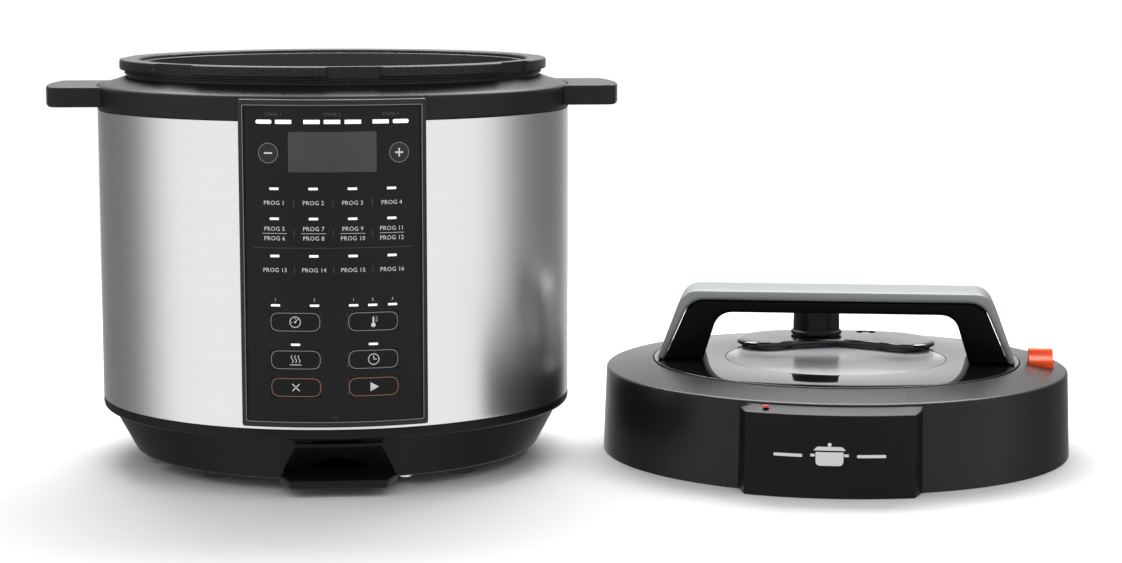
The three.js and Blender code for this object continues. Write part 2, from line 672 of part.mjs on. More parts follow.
add(lid, "lid_plate", lidPlate(), BRIGHT_STEEL);
add(lid, "sealing_ring", sealingRing(), SILICONE);
add(lid, "ring_rack", ringRack(), BRIGHT_STEEL);
add(lid, "anti_block_shield", antiBlockShield(), BRIGHT_STEEL, [...PIPE, 0]);
add(lid, "steam_pipe", steamPipe(), BRIGHT_STEEL, [...PIPE, 0]);
add(lid, "steam_valve", steamValve(), BLACK_SATIN, [...PIPE, 0]);
add(lid, "float_valve", floatValve(), BRIGHT_STEEL, [...FLOAT, 0]);
add(lid, "float_seal", floatSeal(), SILICONE, [...FLOAT, 0]);
add(lid, "release_button", releaseButton(), ORANGE, [...BUTTON, 0]);
add(lid, "button_spring", spring([0, 0], 4.5, 0.6, 24.4, 40.7, 4), BRIGHT_STEEL, [...BUTTON, 0]);
add(lid, "release_lever", releaseLever(), BRIGHT_STEEL, [...LEVER_AT, 0], LEVER_TURN);
add(lid, "lever_pin", acrossRod(1.5, 8.2), BRIGHT_STEEL, [...LEVER_AT, 0], LEVER_TURN);
add(lid, "lever_bracket", leverBracket(), BRIGHT_STEEL, [...LEVER_AT, 0], LEVER_TURN);
add(lid, "centre_ball", solid(new THREE.SphereGeometry(5, 12, 8).translate(0, 0, 34)), BRIGHT_STEEL);

export default cooker;
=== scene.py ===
"""Looks of an electric pressure cooker whose lid lies beside it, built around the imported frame."""

import json
import math
from contextlib import contextmanager

import bmesh
import bpy
from mathutils import Matrix, Vector

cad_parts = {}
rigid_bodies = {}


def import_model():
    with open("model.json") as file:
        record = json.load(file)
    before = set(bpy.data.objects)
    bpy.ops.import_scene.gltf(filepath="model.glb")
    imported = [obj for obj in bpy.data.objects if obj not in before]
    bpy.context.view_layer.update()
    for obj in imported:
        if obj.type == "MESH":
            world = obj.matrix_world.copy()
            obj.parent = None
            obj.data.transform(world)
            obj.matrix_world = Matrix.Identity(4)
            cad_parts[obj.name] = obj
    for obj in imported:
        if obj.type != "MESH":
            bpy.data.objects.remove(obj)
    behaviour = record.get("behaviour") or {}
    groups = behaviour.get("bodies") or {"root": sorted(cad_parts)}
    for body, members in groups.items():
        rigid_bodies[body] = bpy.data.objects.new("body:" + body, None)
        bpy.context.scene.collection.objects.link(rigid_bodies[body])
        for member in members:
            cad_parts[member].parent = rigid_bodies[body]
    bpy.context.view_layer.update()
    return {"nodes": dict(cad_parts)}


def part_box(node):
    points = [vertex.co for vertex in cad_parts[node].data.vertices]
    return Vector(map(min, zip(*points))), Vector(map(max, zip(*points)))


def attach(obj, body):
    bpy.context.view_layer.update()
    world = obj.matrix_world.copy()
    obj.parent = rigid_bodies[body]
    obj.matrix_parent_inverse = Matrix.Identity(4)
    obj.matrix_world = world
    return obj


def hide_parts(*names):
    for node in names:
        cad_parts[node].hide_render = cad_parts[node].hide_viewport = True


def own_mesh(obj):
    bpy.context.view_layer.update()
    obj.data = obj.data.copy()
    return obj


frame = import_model()

MM = 0.001
SIDES = 192
BEND_STEP = 1.6


def box_mm(node):
    """A node's lowest and highest corners in millimetres."""
    low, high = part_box(node)
    return [c / MM for c in low], [c / MM for c in high]


def middle_mm(node):
    low, high = box_mm(node)
    return [(a + b) / 2 for a, b in zip(low, high)]


def axis_of(node):
    """The upright axis of a round node, as a place on the floor."""
    x, y, _ = middle_mm(node)
    return Vector((x, y, 0))


def standing(round_node, pointer, rest_angle):
    """Where an assembly stands: on its round node's axis, turned until a second node is at its own angle."""
    axis = axis_of(round_node)
    away = axis_of(pointer) - axis
    turn = math.atan2(away.y, away.x) - rest_angle
    return Matrix.Translation(axis) @ Matrix.Rotation(turn, 4, "Z")


def local(place, node):
    """The middle of a node in its assembly's own coordinates, seen from above."""
    return (place.inverted() @ Vector(middle_mm(node))).xy


BASE = standing("steel_shell", "foot_1", math.radians(45))
LID = standing("lid_shell", "steam_valve", math.atan2(57, -12))


# ---- materials

def node_material(name):
    material = bpy.data.materials.new(name)
    material.use_nodes = True
    tree = material.node_tree
    return material, tree, tree.nodes["Principled BSDF"]


def feed(tree, node, inputs):
    """Sets a node's inputs to values, or links them to other nodes' outputs."""
    for name, value in inputs.items():
        if isinstance(value, bpy.types.NodeSocket):
            tree.links.new(value, node.inputs[name])
        else:
            node.inputs[name].default_value = value


def add_node(tree, kind, inputs=None, **settings):
    node = tree.nodes.new("ShaderNode" + kind)
    for name, value in settings.items():
        setattr(node, name, value)
    feed(tree, node, inputs or {})
    return node


def calculated(tree, operation, *terms):
    """The outcome of a Math node on outputs and numbers."""
    return add_node(tree, "Math", dict(enumerate(terms)), operation=operation).outputs["Value"]


def add_noise(tree, scale, detail=3.0, stretch=None):
    """A noise texture in object coordinates, which are metres."""
    place = add_node(tree, "TexCoord").outputs["Object"]
    if stretch is not None:
        place = add_node(tree, "Mapping", {"Vector": place, "Scale": stretch}).outputs["Vector"]
    return add_node(tree, "TexNoise", {"Vector": place, "Scale": scale, "Detail": detail}).outputs["Fac"]


def ranged(tree, source, low, high):
    """A 0..1 output spread over low..high."""
    return add_node(tree, "MapRange", {"Value": source, "To Min": low, "To Max": high}).outputs["Result"]


def tinted(tree, source, dark, light, start=0.3, end=0.7):
    """A 0..1 output as a colour between two."""
    ramp = add_node(tree, "ValToRGB", {"Fac": source})
    for element, colour, position in zip(ramp.color_ramp.elements, (dark, light), (start, end)):
        element.color = (*colour, 1)
        element.position = position
    return ramp.outputs["Color"]


def shade(colour, factor):
    return [min(1, c * factor) for c in colour]


def add_bump(tree, shader, source, strength, distance):
    bump = add_node(tree, "Bump", {"Height": source, "Strength": strength, "Distance": distance})
    feed(tree, shader, {"Normal": bump.outputs["Normal"]})


def moulded(name, colour, roughness, grain=2600, relief=0.12, vary=0.05, specular=0.5):
    """Moulded plastic or rubber: a fine grain and slightly uneven gloss."""
    material, tree, shader = node_material(name)
    fine = add_noise(tree, grain)
    cloudy = add_noise(tree, 26, 4)
    feed(tree, shader, {
        "Base Color": tinted(tree, cloudy, shade(colour, 0.86), shade(colour, 1.14)),
        "Roughness": ranged(tree, cloudy, roughness - vary, roughness + vary),
        "Specular IOR Level": specular,
    })
    add_bump(tree, shader, fine, relief, 0.0001)
    return material


def brushed(name, colour, roughness, stretch, relief=0.08, vary=0.06, metallic=1.0):
    """Metal with fine brush lines along one direction."""
    material, tree, shader = node_material(name)
    lines = add_noise(tree, 1.0, 5, stretch)
    cloudy = add_noise(tree, 14, 3)
    uneven = calculated(tree, "MULTIPLY_ADD", lines, 0.5, calculated(tree, "MULTIPLY", cloudy, 0.5))
    feed(tree, shader, {
        "Base Color": tinted(tree, lines, shade(colour, 0.97), shade(colour, 1.03)),
        "Roughness": ranged(tree, uneven, roughness - vary, roughness + vary),
        "Metallic": metallic,
    })
    add_bump(tree, shader, lines, relief, 0.00005)
    return material


def speckled(name, colour, fleck, roughness, specular):
    """Powder coat with tiny lighter flecks and a rough skin."""
    material, tree, shader = node_material(name)
    grain = add_noise(tree, 1900, 2)
    feed(tree, shader, {
        "Base Color": tinted(tree, grain, colour, fleck, 0.5, 0.72),
        "Roughness": ranged(tree, grain, roughness - 0.1, roughness + 0.1),
        "Specular IOR Level": specular,
    })
    add_bump(tree, shader, grain, 0.5, 0.0002)
    return material


def mirror_black(name, colour, roughness, coat):
    """Polished black plastic: a clear skin over black, with faint handling marks in its gloss."""
    material, tree, shader = node_material(name)
    marks = add_noise(tree, 60, 6)
    feed(tree, shader, {
        "Base Color": tinted(tree, marks, colour, shade(colour, 1.3)),
        "Roughness": ranged(tree, marks, roughness * 0.6, roughness * 1.4),
        "Coat Weight": coat,
        "Coat Roughness": 0.03,
    })
    return material


def clear_plastic(name):
    material, tree, shader = node_material(name)
    haze = add_noise(tree, 40, 3)
    feed(tree, shader, {
        "Base Color": tinted(tree, haze, (0.80, 0.83, 0.85), (0.90, 0.92, 0.93)),
        "Roughness": ranged(tree, haze, 0.12, 0.22),
        "Transmission Weight": 0.75,
        "IOR": 1.45,
    })
    return material


def printed_ink(name, colour, glow=0.0):
    """Screen-printed ink, very slightly uneven, or a lit lamp if it glows."""
    material, tree, shader = node_material(name)
    colours = tinted(tree, add_noise(tree, 900, 2), shade(colour, 0.93), colour)
    feed(tree, shader, {"Base Color": colours, "Roughness": 0.5})
    if glow:
        feed(tree, shader, {"Emission Color": colours, "Emission Strength": glow})
    return material


# Brush lines of the steel shell run round it, so the noise is dense in height only.
STEEL = brushed("steel_shell_brushed", (0.82, 0.82, 0.82), 0.28, (2, 2, 2600), 0.015, 0.02)
BRIGHT = brushed("bright_steel", (0.74, 0.74, 0.75), 0.26, (900, 900, 900), 0.04)
CAST = brushed("cast_aluminium", (0.58, 0.58, 0.59), 0.42, (240, 240, 240), 0.10)
SILVER = brushed("silver_trim", (0.24, 0.255, 0.25), 0.40, (40, 900, 900), 0.01, 0.02, metallic=0.55)
POT = moulded("pot_coating", (0.028, 0.028, 0.030), 0.42, 900, 0.2)
BLACK = moulded("black_plastic", (0.008, 0.008, 0.009), 0.40, specular=0.22)
HANDLE_BLACK = moulded("handle_plastic", (0.0015, 0.0015, 0.0015), 0.30, 2200, 0.05, 0.04, 0.07)
DARK = moulded("base_plastic", (0.005, 0.005, 0.006), 0.42, specular=0.18)
RING = speckled("ring_coating", (0.003, 0.003, 0.003), (0.04, 0.04, 0.04), 0.38, 0.25)
FILM = moulded("panel_film", (0.009, 0.009, 0.010), 0.42, 1400, 0.04, 0.03, 0.16)
KEY_FILM = moulded("key_film", (0.008, 0.008, 0.009), 0.40, 1400, 0.04, 0.03, 0.14)
BEZEL = moulded("bezel_plastic", (0.012, 0.012, 0.013), 0.36, specular=0.3)
DISPLAY = moulded("display", (0.052, 0.052, 0.054), 0.5, 1400, 0.02, 0.02, 0.25)
LID_GREY = moulded("lid_plastic", (0.008, 0.008, 0.009), 0.28, 2200, 0.08, specular=0.26)
BADGE_GREY = moulded("badge_plastic", (0.004, 0.004, 0.005), 0.38, 2200, 0.12, specular=0.14)
# The disc's light grey is partly its own grey and partly a painted reflection: the base colour is raised to
# stand in for the bright overhead it mirrors.
DISC_GREY_WITH_PAINTED_SHEEN = moulded("disc_plastic_painted_sheen", (0.400, 0.405, 0.420), 0.18, 1800, 0.01, 0.02, 0.2)
GLOSS = mirror_black("gloss_black", (0.004, 0.004, 0.005), 0.05, 0.15)
ORANGE = moulded("orange_plastic", (0.78, 0.070, 0.007), 0.42, 1600, 0.08, specular=0.2)
SILICONE = moulded("silicone", (0.62, 0.61, 0.58), 0.5, 800, 0.1)
RUBBER = moulded("rubber", (0.012, 0.012, 0.012), 0.75, 1200, 0.3)
BOARD = moulded("circuit_board", (0.02, 0.1, 0.045), 0.5, 500, 0.2)
CLEAR = clear_plastic("clear_plastic")
WHITE_INK = printed_ink("white_ink", (0.62, 0.62, 0.62))
GREY_INK = printed_ink("grey_ink", (0.07, 0.07, 0.072))
# Mid grey ink for the printed key outlines, also used for the painted highlight along the bezel's ridge.
INK_LINES_AND_HIGHLIGHT = printed_ink("line_ink_and_painted_highlight", (0.20, 0.20, 0.20))
ORANGE_INK = printed_ink("orange_ink", (0.26, 0.105, 0.055))
LAMP = printed_ink("lamp_white", (0.95, 0.95, 0.95), 0.35)


# ---- mesh helpers

def rounded(outline, steps=5):
    """Corners given as (a, b, radius) become smooth curves; (a, b) stays sharp."""
    points = []
    for i, corner in enumerate(outline):
        tip = Vector(corner[:2])
        if len(corner) < 3:
            points.append(tip)
            continue
        before = Vector(outline[i - 1][:2]) - tip
        after = Vector(outline[(i + 1) % len(outline)][:2]) - tip
        start = tip + before.normalized() * min(corner[2], before.length * 0.49)
        end = tip + after.normalized() * min(corner[2], after.length * 0.49)
        for k in range(steps + 1):
            t = k / steps
            points.append(start * (1 - t) ** 2 + tip * 2 * t * (1 - t) + end * t * t)
    return [tuple(p) for p in points]


def rounded_rectangle(x0, x1, y0, y1, r):
    return [(x0, y0, r), (x1, y0, r), (x1, y1, r), (x0, y1, r)]


def soft_box(x0, x1, y0, y1, r, steps=5):
    return rounded(rounded_rectangle(x0, x1, y0, y1, r), steps)


def circle(x, y, r, sides):
    angles = [2 * math.pi * i / sides for i in range(sides)]
    return [(x + r * math.cos(a), y + r * math.sin(a)) for a in angles]


def stacked(count, layers, closed=False):
    """Walls between rings of count points each; closed also joins the last ring to the first."""
    faces = []
    for s in range(layers if closed else layers - 1):
        t = (s + 1) % layers
        for i in range(count):
            j = (i + 1) % count
            faces.append((s * count + i, s * count + j, t * count + j, t * count + i))
    return faces


def capped(count, layers, flipped=False):
    """Walls between rings of count points each and a face over each end; flipped winds them backwards."""
    last = (layers - 1) * count
    ends = [list(range(count)), list(range(last, last + count))]
    ends[1 if flipped else 0].reverse()
    walls = stacked(count, layers)
    if flipped:
        walls = [(a, d, c, b) for a, b, c, d in walls]
    return ends + walls


def linked(name, data):
    made = bpy.data.objects.new(name, data)
    bpy.context.scene.collection.objects.link(made)
    return made


@contextmanager
def reshaping(mesh):
    """Lets a mesh be edited as a bmesh, then writes it back."""
    shape = bmesh.new()
    shape.from_mesh(mesh)
    yield shape
    shape.to_mesh(mesh)
    shape.free()


def softened(mesh, sharp=30):
    """Smooth shading over every edge that bends less than an angle."""
    mesh.shade_smooth()
    mesh.set_sharp_from_angle(angle=math.radians(sharp))


def millimetres(name, verts, faces, place):
    """A mesh from points in millimetres, in a place's own coordinates."""
    mesh = bpy.data.meshes.new(name)
    mesh.from_pydata([(place @ Vector(v)) * MM for v in verts], [], faces)
    return mesh


def piece(name, verts, faces, material, body, nodes=(), place=BASE, sharp=38):
    """A mesh in millimetres from a place, riding on a body and standing for CAD nodes."""
    mesh = millimetres(name, verts, faces, place)
    with reshaping(mesh) as shape:
        bmesh.ops.remove_doubles(shape, verts=shape.verts, dist=1e-7)
        bmesh.ops.recalc_face_normals(shape, faces=shape.faces)
    softened(mesh, sharp)
    mesh.materials.append(material)
    made = linked(name, mesh)
    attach(made, body)
    if nodes:
        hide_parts(*nodes)
    return made


def lathe_data(profile, sides=SIDES, radius_at=None):
    """Vertices and faces of a closed profile of (radius, height) turned about the Z axis.

    radius_at(radius, height, angle) may change a point's radius, for notches.
    """
    verts = []
    rings = []
    for r, z in profile:
        if r < 1e-6:
            rings.append([len(verts)] * sides)
            verts.append((0, 0, z))
            continue
        ring = []
        for i in range(sides):
            angle = 2 * math.pi * i / sides - math.pi / 2
            reach = radius_at(r, z, angle) if radius_at else r
            ring.append(len(verts))
            verts.append((reach * math.cos(angle), reach * math.sin(angle), z))
        rings.append(ring)
    faces = []
    closed = profile[0][0] > 1e-6 or profile[-1][0] > 1e-6
    pairs = list(zip(rings, rings[1:]))
    if closed:
        pairs.append((rings[-1], rings[0]))
    for low, high in pairs:
        for i in range(sides):
            j = (i + 1) % sides
            corners = list(dict.fromkeys((low[i], low[j], high[j], high[i])))
            if len(corners) > 2:
                faces.append(corners)
    return verts, faces


def lathe(name, outline, material, body, nodes=(), place=BASE, sides=SIDES, steps=5, radius_at=None):
    verts, faces = lathe_data(rounded(outline, steps), sides, radius_at)
    return piece(name, verts, faces, material, body, nodes, place)


def prism_data(outline, z0, z1):
    """An upright prism over a plan outline."""
    return [(x, y, z) for z in (z0, z1) for x, y in outline], capped(len(outline), 2)


def bevelled(made, width, segments=3, angle=35):
    """Rounds a piece's edges in its mesh."""
    limit = math.radians(angle)
    with reshaping(made.data) as shape:
        edges = [e for e in shape.edges if e.is_manifold and e.calc_face_angle(0) > limit]
        bmesh.ops.bevel(shape, geom=edges, offset=width * MM, segments=segments, profile=0.5,
                        affect="EDGES", clamp_overlap=True)
        bmesh.ops.triangulate(shape, faces=[f for f in shape.faces if len(f.verts) > 4])
    softened(made.data)
    return made


def prism(name, outline, z0, z1, material, body, nodes=(), place=BASE, bevel=0.0, steps=5):
    verts, faces = prism_data(rounded(outline, steps), z0, z1)
    made = piece(name, verts, faces, material, body, nodes, place)
    return bevelled(made, bevel) if bevel else made


def carved(made, tools, operation="DIFFERENCE"):
    """Cuts tools, each (verts, faces, place), out of a piece, or joins them to it."""
    for verts, faces, place in tools:
        mesh = millimetres("cutter", verts, faces, place)
        with reshaping(mesh) as shape:
            bmesh.ops.recalc_face_normals(shape, faces=shape.faces)
        cutter = linked("cutter", mesh)
        cutter.parent = made.parent
        cutter.matrix_parent_inverse = made.matrix_parent_inverse.copy()
        modifier = made.modifiers.new("cut", "BOOLEAN")
        modifier.operation = operation
        modifier.solver = "EXACT"
        modifier.object = cutter
        with bpy.context.temp_override(object=made, active_object=made):
            bpy.ops.object.modifier_apply(modifier=modifier.name)
        bpy.data.objects.remove(cutter)
    softened(made.data)


def lid_hole(spot, r, z0, z1):
    """A round tool that cuts the lid at a spot."""
    return (*prism_data(circle(*spot, r, 48), z0, z1), LID)


def arc(r, from_deg, to_deg, steps):
    """Points on a circle about the origin."""
    angles = [math.radians(from_deg + (to_deg - from_deg) * i / steps) for i in range(steps + 1)]
    return [(r * math.cos(a), r * math.sin(a)) for a in angles]


def repaint(node, material):
    """A carried-over CAD node gets a procedural material."""
    mesh = frame["nodes"][node].data
    mesh.materials.clear()
    mesh.materials.append(material)


# ---- base: covers

BODY_R = 138
COLLAR_R = 138.5
SHELL_LOW = box_mm("steel_shell")[0][2]
SHELL_HIGH = box_mm("steel_shell")[1][2]
COLLAR_LOW = box_mm("top_collar")[0][2]
RING_TOP = box_mm("lock_ring")[1][2]


def steel_shell():
    r = BODY_R
    lathe("steel_shell_skin", [
        (r - 0.9, SHELL_LOW, 0.4), (r - 0.05, SHELL_LOW, 0.5), (r, SHELL_LOW + 3), (r, SHELL_HIGH - 3),
        (r - 0.05, SHELL_HIGH, 0.5), (r - 0.9, SHELL_HIGH, 0.4),
    ], STEEL, "base", ["steel_shell"], sides=256)


def top_collar():
    r = COLLAR_R
    lathe("collar", [
        (r - 0.4, COLLAR_LOW, 0.4), (r, COLLAR_LOW + 1, 0.6), (r, 219.6, 2.2), (136.6, 221.3, 3),
        (128, 223.6), (121.5, 226, 0.8), (121.4, 223, 0.5), (135.2, 218), (135.2, COLLAR_LOW),
    ], BLACK, "base", ["top_collar"], sides=256, steps=6)


HANDLE_REACH = 167.2
HANDLE_HALF = 40


def side_handle(side, node):
    """A flat grip with a gently round end, soft edges and stiffening ribs below."""
    low, high = box_mm(node)
    root = COLLAR_R - 0.5
    root_angle = math.degrees(math.asin(HANDLE_HALF / root))
    grip = arc(root, -root_angle, root_angle, 12)[::-1]
    end = arc(HANDLE_REACH, -11, 11, 10)
    corner = (HANDLE_REACH - 5.2, HANDLE_HALF, 9)
    outline = [(corner[0], -corner[1], corner[2]), *end, corner] + grip
    outline = [(side * point[0], *point[1:]) for point in outline]
    made = prism(f"handle_grip_{node[7:]}", outline, low[2], high[2], BLACK, "base", [node],
                 bevel=1.3, steps=8)
    pockets = []
    for y0, y1 in ((-HANDLE_HALF + 5, -9), (-7, 7), (9, HANDLE_HALF - 5)):
        x0, x1 = sorted((side * (root + 3.5), side * (HANDLE_REACH - 6.5)))
        pocket = soft_box(x0, x1, y0, y1, 3)
        pockets.append((*prism_data(pocket, low[2] - 1, high[2] - 5), BASE))
    carved(made, pockets)


NOTCHES = 7
FIRST_NOTCH = -85
FIRST_LUG = -74
NOTCH_HALF = 6.5
NOTCH_R = 122.5


def lock_ring():
    """The coated bayonet ring: a thick lip with shallow notches in its edge, over a narrower neck."""

    def notched(r, z, angle):
        turn = (math.degrees(angle) - FIRST_NOTCH) % (360 / NOTCHES)
        away = min(turn, 360 / NOTCHES - turn)
        if z < 229.9 or r <= NOTCH_R:
            return r
        fade = min(1, max(0, (away - NOTCH_HALF) / 0.8))
        return NOTCH_R + (r - NOTCH_R) * fade

    lathe("lock_ring_coated", [
        (113.5, 230.5, 0.4), (113.5, RING_TOP, 2.2), (125, RING_TOP, 1.6), (125, 230, 1.2),
        (121.2, 230), (121.1, 228.9), (122.2, 228.6, 0.3), (122.2, 227.7, 0.3), (121.1, 227.4),
        (121, 226.2), (120.7, 204), (117.7, 204), (117.7, 230.5),
    ], RING, "base", ["lock_ring"], sides=720, radius_at=notched)


def base_housing():
    """The black band under the steel and the cone down to the table, with its front tab and scoop."""
    made = lathe("base_skirt", [
        (138, 38.05, 0.3), (138, 33.6, 2.4), (135.6, 32, 1.2), (132.4, 31.8, 0.8), (119.5, 7.8, 1.6),
        (118.2, 7, 0.6), (116.1, 7), (116.1, 9.2), (104.2, 9.2), (104.2, 12.2), (117.6, 12.2),
        (129.3, 34.8), (134.6, 36.2), (134.6, 38),
    ], DARK, "base", ["base_housing"], sides=256)
    carve_scoop(made)
    tab = [(-32.8, -113.5), (-26.2, -135.8, 0.8), (26.2, -135.8, 0.8), (32.8, -113.5)]
    prism("front_tab", tab, 5.1, 9.5, DARK, "base", bevel=0.6)


CONE_SLOPE = 13.1 / 24.4


def carve_scoop(made):
    """A hollow in the front of the cone that deepens towards the tab, under a thin dark slot."""
    rows = [
        # (height, half width, depth)
        (11.2, 30.5, 2.0), (14, 29.4, 2.0), (20, 26.8, 1.5), (27, 23.6, 0.3),
    ]
    verts = []
    for z, half, depth in rows:
        cone = 119.4 + (z - 7.6) * CONE_SLOPE
        for x, out in ((-half, -depth), (half, -depth), (half + 3, 8), (-half - 3, 8)):
            verts.append((x, -(cone + out) * math.cos(math.asin(x / cone)), z))
    slot = [(-24, -136.9), (24, -136.9), (24, -126), (-24, -126)]
    carved(made, [(verts, capped(4, len(rows)), BASE), (*prism_data(slot, 29.2, 31.2), BASE)])


def feet():
    for index in range(1, 5):
        node = f"foot_{index}"
        lathe(f"rubber_foot_{index}", [(0, 0), (8.6, 0, 1.2), (8.8, 6.6, 0.4), (0, 6.6)],
              RUBBER, "base", [node], Matrix.Translation(axis_of(node)), 48)


# ---- base: cooking side

def cooking_side():
    lathe("chamber_wall", [
        (40, 62), (116.7, 62, 4), (116.7, 229.5, 0.4), (115.7, 229.5, 0.4), (115.7, 63.2, 3), (40, 63.2),
    ], CAST, "base", ["heating_chamber"])
    lathe("pot_body", [
        (0, 84.1), (104, 84.1, 3), (111.9, 91, 7), (111.9, 231.8, 1), (112.7, 233, 0.8), (112.3, 233.9, 0.8),
        (110.6, 233.9, 0.8), (110.5, 92, 7), (104, 86.4, 4), (0, 86.3),
    ], POT, "pot", ["inner_pot"])
    lathe("hot_plate", [
        (6, 65.5), (20, 65.5), (20, 70), (60, 70), (60, 63.6), (66, 63.6), (66, 70), (86, 70, 1),
        (88, 72, 1), (88, 81.4, 2), (85, 83.6, 2), (60, 83.6), (58.5, 83, 0.8), (57, 83.6), (40, 83.6),
        (38.5, 83, 0.8), (37, 83.6), (15.3, 83.6, 0.5), (15.3, 67.5), (6, 67.5),
    ], CAST, "base", ["heating_plate"], sides=128)
    lathe("sensor_dome", [
        (0, 58.2), (3.8, 58.2, 0.4), (3.8, 78.6), (13.8, 78.6, 0.4), (13.8, 82.4, 1.2), (12, 83.5, 2),
        (0, 83.5),
    ], BRIGHT, "sensor", ["sensor_cap"], sides=64)


# ---- base: control panel

PANEL_R = 140.6
BEZEL_LOW, BEZEL_HIGH = box_mm("panel_bezel")
PANEL_TURN = -1.5 / PANEL_R
OVERLAY_LOW, OVERLAY_HIGH = box_mm("panel_overlay")
FILM_DEEP = 138.7
KEY_DEEP = 139.0
KEY_TOP = PANEL_R + 0.02
KEY_GAP = 0.2
DISPLAY_HALF = 24.1
DISPLAY_DEEP = 138.95
FILM_HALF = 48
BEZEL_HALF = 52.5
INK = 0.12
CAPTION_TALL = 2.3


def bent(verts):
    """Flat panel coordinates (x across, radius, z) wrapped round the base's axis."""
    wrapped = []
    for x, r, z in verts:
        angle = PANEL_TURN + x / PANEL_R
        wrapped.append((r * math.sin(angle), -r * math.cos(angle), z))
    return wrapped


def shape_of(verts, faces):
    shape = bmesh.new()
    made = [shape.verts.new(v) for v in verts]
    for face in faces:
        shape.faces.new([made[i] for i in face])
    return shape


def sliced(shape, step):
    """Cuts a flat shape every step along x, so that it can be wrapped round an axis."""
    xs = [v.co.x for v in shape.verts]
    cut = math.ceil(min(xs) / step) * step
    while cut < max(xs):
        everything = shape.verts[:] + shape.edges[:] + shape.faces[:]
        bmesh.ops.bisect_plane(shape, geom=everything, plane_co=(cut, 0, 0), plane_no=(1, 0, 0), dist=1e-5)
        cut += step
    return shape


def lists_of(shape):
    """A shape's points and faces, after which the shape is gone."""
    shape.verts.index_update()
    verts = [tuple(v.co) for v in shape.verts]
    faces = [[v.index for v in f.verts] for f in shape.faces]
    shape.free()
    return verts, faces


def panel_piece(name, verts, faces, material, body="base", nodes=(), bevel=0.0):
    """A flat panel piece in (x, radius, z), bevelled, cut into strips and wrapped round the body."""
    shape = shape_of(verts, faces)
    bmesh.ops.recalc_face_normals(shape, faces=shape.faces)
    if bevel:
        edges = [e for e in shape.edges if e.is_manifold and e.calc_face_angle(0) > math.radians(50)]
        bmesh.ops.bevel(shape, geom=edges, offset=bevel, segments=2, profile=0.5, affect="EDGES",
                        clamp_overlap=True)
    sliced(shape, BEND_STEP)
    bmesh.ops.triangulate(shape, faces=[f for f in shape.faces if len(f.verts) > 4])
    flat, strip_faces = lists_of(shape)
    return piece(name, bent(flat), strip_faces, material, body, nodes, BASE, 30)


def slab(outline, r0, r1, flipped=False):
    """A flat slab between two depths over an outline of (x, z)."""
    return [(x, r, z) for r in (r0, r1) for x, z in outline], capped(len(outline), 2, flipped)


def band(outer, inner, r0, r1):
    """A closed slab between an outer and an inner outline with equally many points."""
    lines = ((outer, r0), (inner, r0), (inner, r1), (outer, r1))
    return [(x, r, z) for line, r in lines for x, z in line], stacked(len(outer), 4, closed=True)


def printed(outline, r0):
    """A thin layer of ink on a face at a depth."""
    return slab(outline, r0, r0 + INK)


def merged(parts):
    """Several (verts, faces) as one."""
    verts, faces = [], []
    for part_verts, part_faces in parts:
        start = len(verts)
        verts += part_verts
        faces += [[start + i for i in face] for face in part_faces]
    return verts, faces


def bar(x, z, wide, tall, r0, turn=0.0, corner=0.0):
    """A printed bar centred at (x, z)."""
    corners = rounded_rectangle(-wide / 2, wide / 2, -tall / 2, tall / 2, corner)
    points = rounded(corners if corner else [point[:2] for point in corners], 3)
    c, s = math.cos(turn), math.sin(turn)
    return printed([(x + a * c - b * s, z + a * s + b * c) for a, b in points], r0)


def hoop(x, z, r, wide, r0, sides=40):
    """A printed ring."""
    return band(circle(x, z, r, sides), circle(x, z, r - wide, sides), r0, r0 + INK)


def dot(x, z, r, r0):
    return printed(circle(x, z, r, 24), r0)


def wave(x, z, wide, tall, line, r0):
    """An upright wavy line, such as rising heat."""
    steps = 12
    left, right = [], []
    for i in range(steps + 1):
        t = i / steps
        side = x + wide / 2 * math.sin(2 * math.pi * t)
        height = z + (t - 0.5) * tall
        left.append((side - line / 2, height))
        right.append((side + line / 2, height))
    return printed(left + right[::-1], r0)


def text_slab(words, x, z, tall, r0):
    """Printed characters centred at (x, z), as one merged slab."""
    curve = bpy.data.curves.new("text", "FONT")
    curve.body = words
    curve.size = tall * 1.42
    curve.space_character = 1.05
    curve.align_x = "CENTER"
    curve.resolution_u = 2
    curve.extrude = INK / 2
    holder = linked("text", curve)
    mesh = bpy.data.meshes.new_from_object(holder.evaluated_get(bpy.context.evaluated_depsgraph_get()))
    shape = bmesh.new()
    shape.from_mesh(mesh)
    bmesh.ops.remove_doubles(shape, verts=shape.verts, dist=1e-5)
    points, faces = lists_of(shape)
    bpy.data.objects.remove(holder)
    bpy.data.curves.remove(curve)
    bpy.data.meshes.remove(mesh)
    return [(x + a, r0 + INK / 2 + c, z - tall / 2 + b) for a, b, c in points], faces


def key_middle(node):
    """A key's middle in panel coordinates, from its CAD node."""
    low, high = box_mm(node)
    spot = local(BASE, node)
    return (math.atan2(spot.x, -spot.y) - PANEL_TURN) * PANEL_R, (low[2] + high[2]) / 2


KEY_HALF = 13.85
KEY_TALL = 5.3
KEY_CORNER = 4.6
KEY_LINE = 0.38
KEY_LINE_IN = 0.2
WIDE_KEYS = {
    "key_pressure": "pressure_key", "key_temp": "temp_key", "key_keep_warm": "keep_warm_key",
    "key_delay": "delay_key", "key_cancel": "cancel_key", "key_start": "start_key",
}
ROUND_KEYS = {"key_minus": "minus_key", "key_plus": "plus_key"}
ROUND_R = 5.6


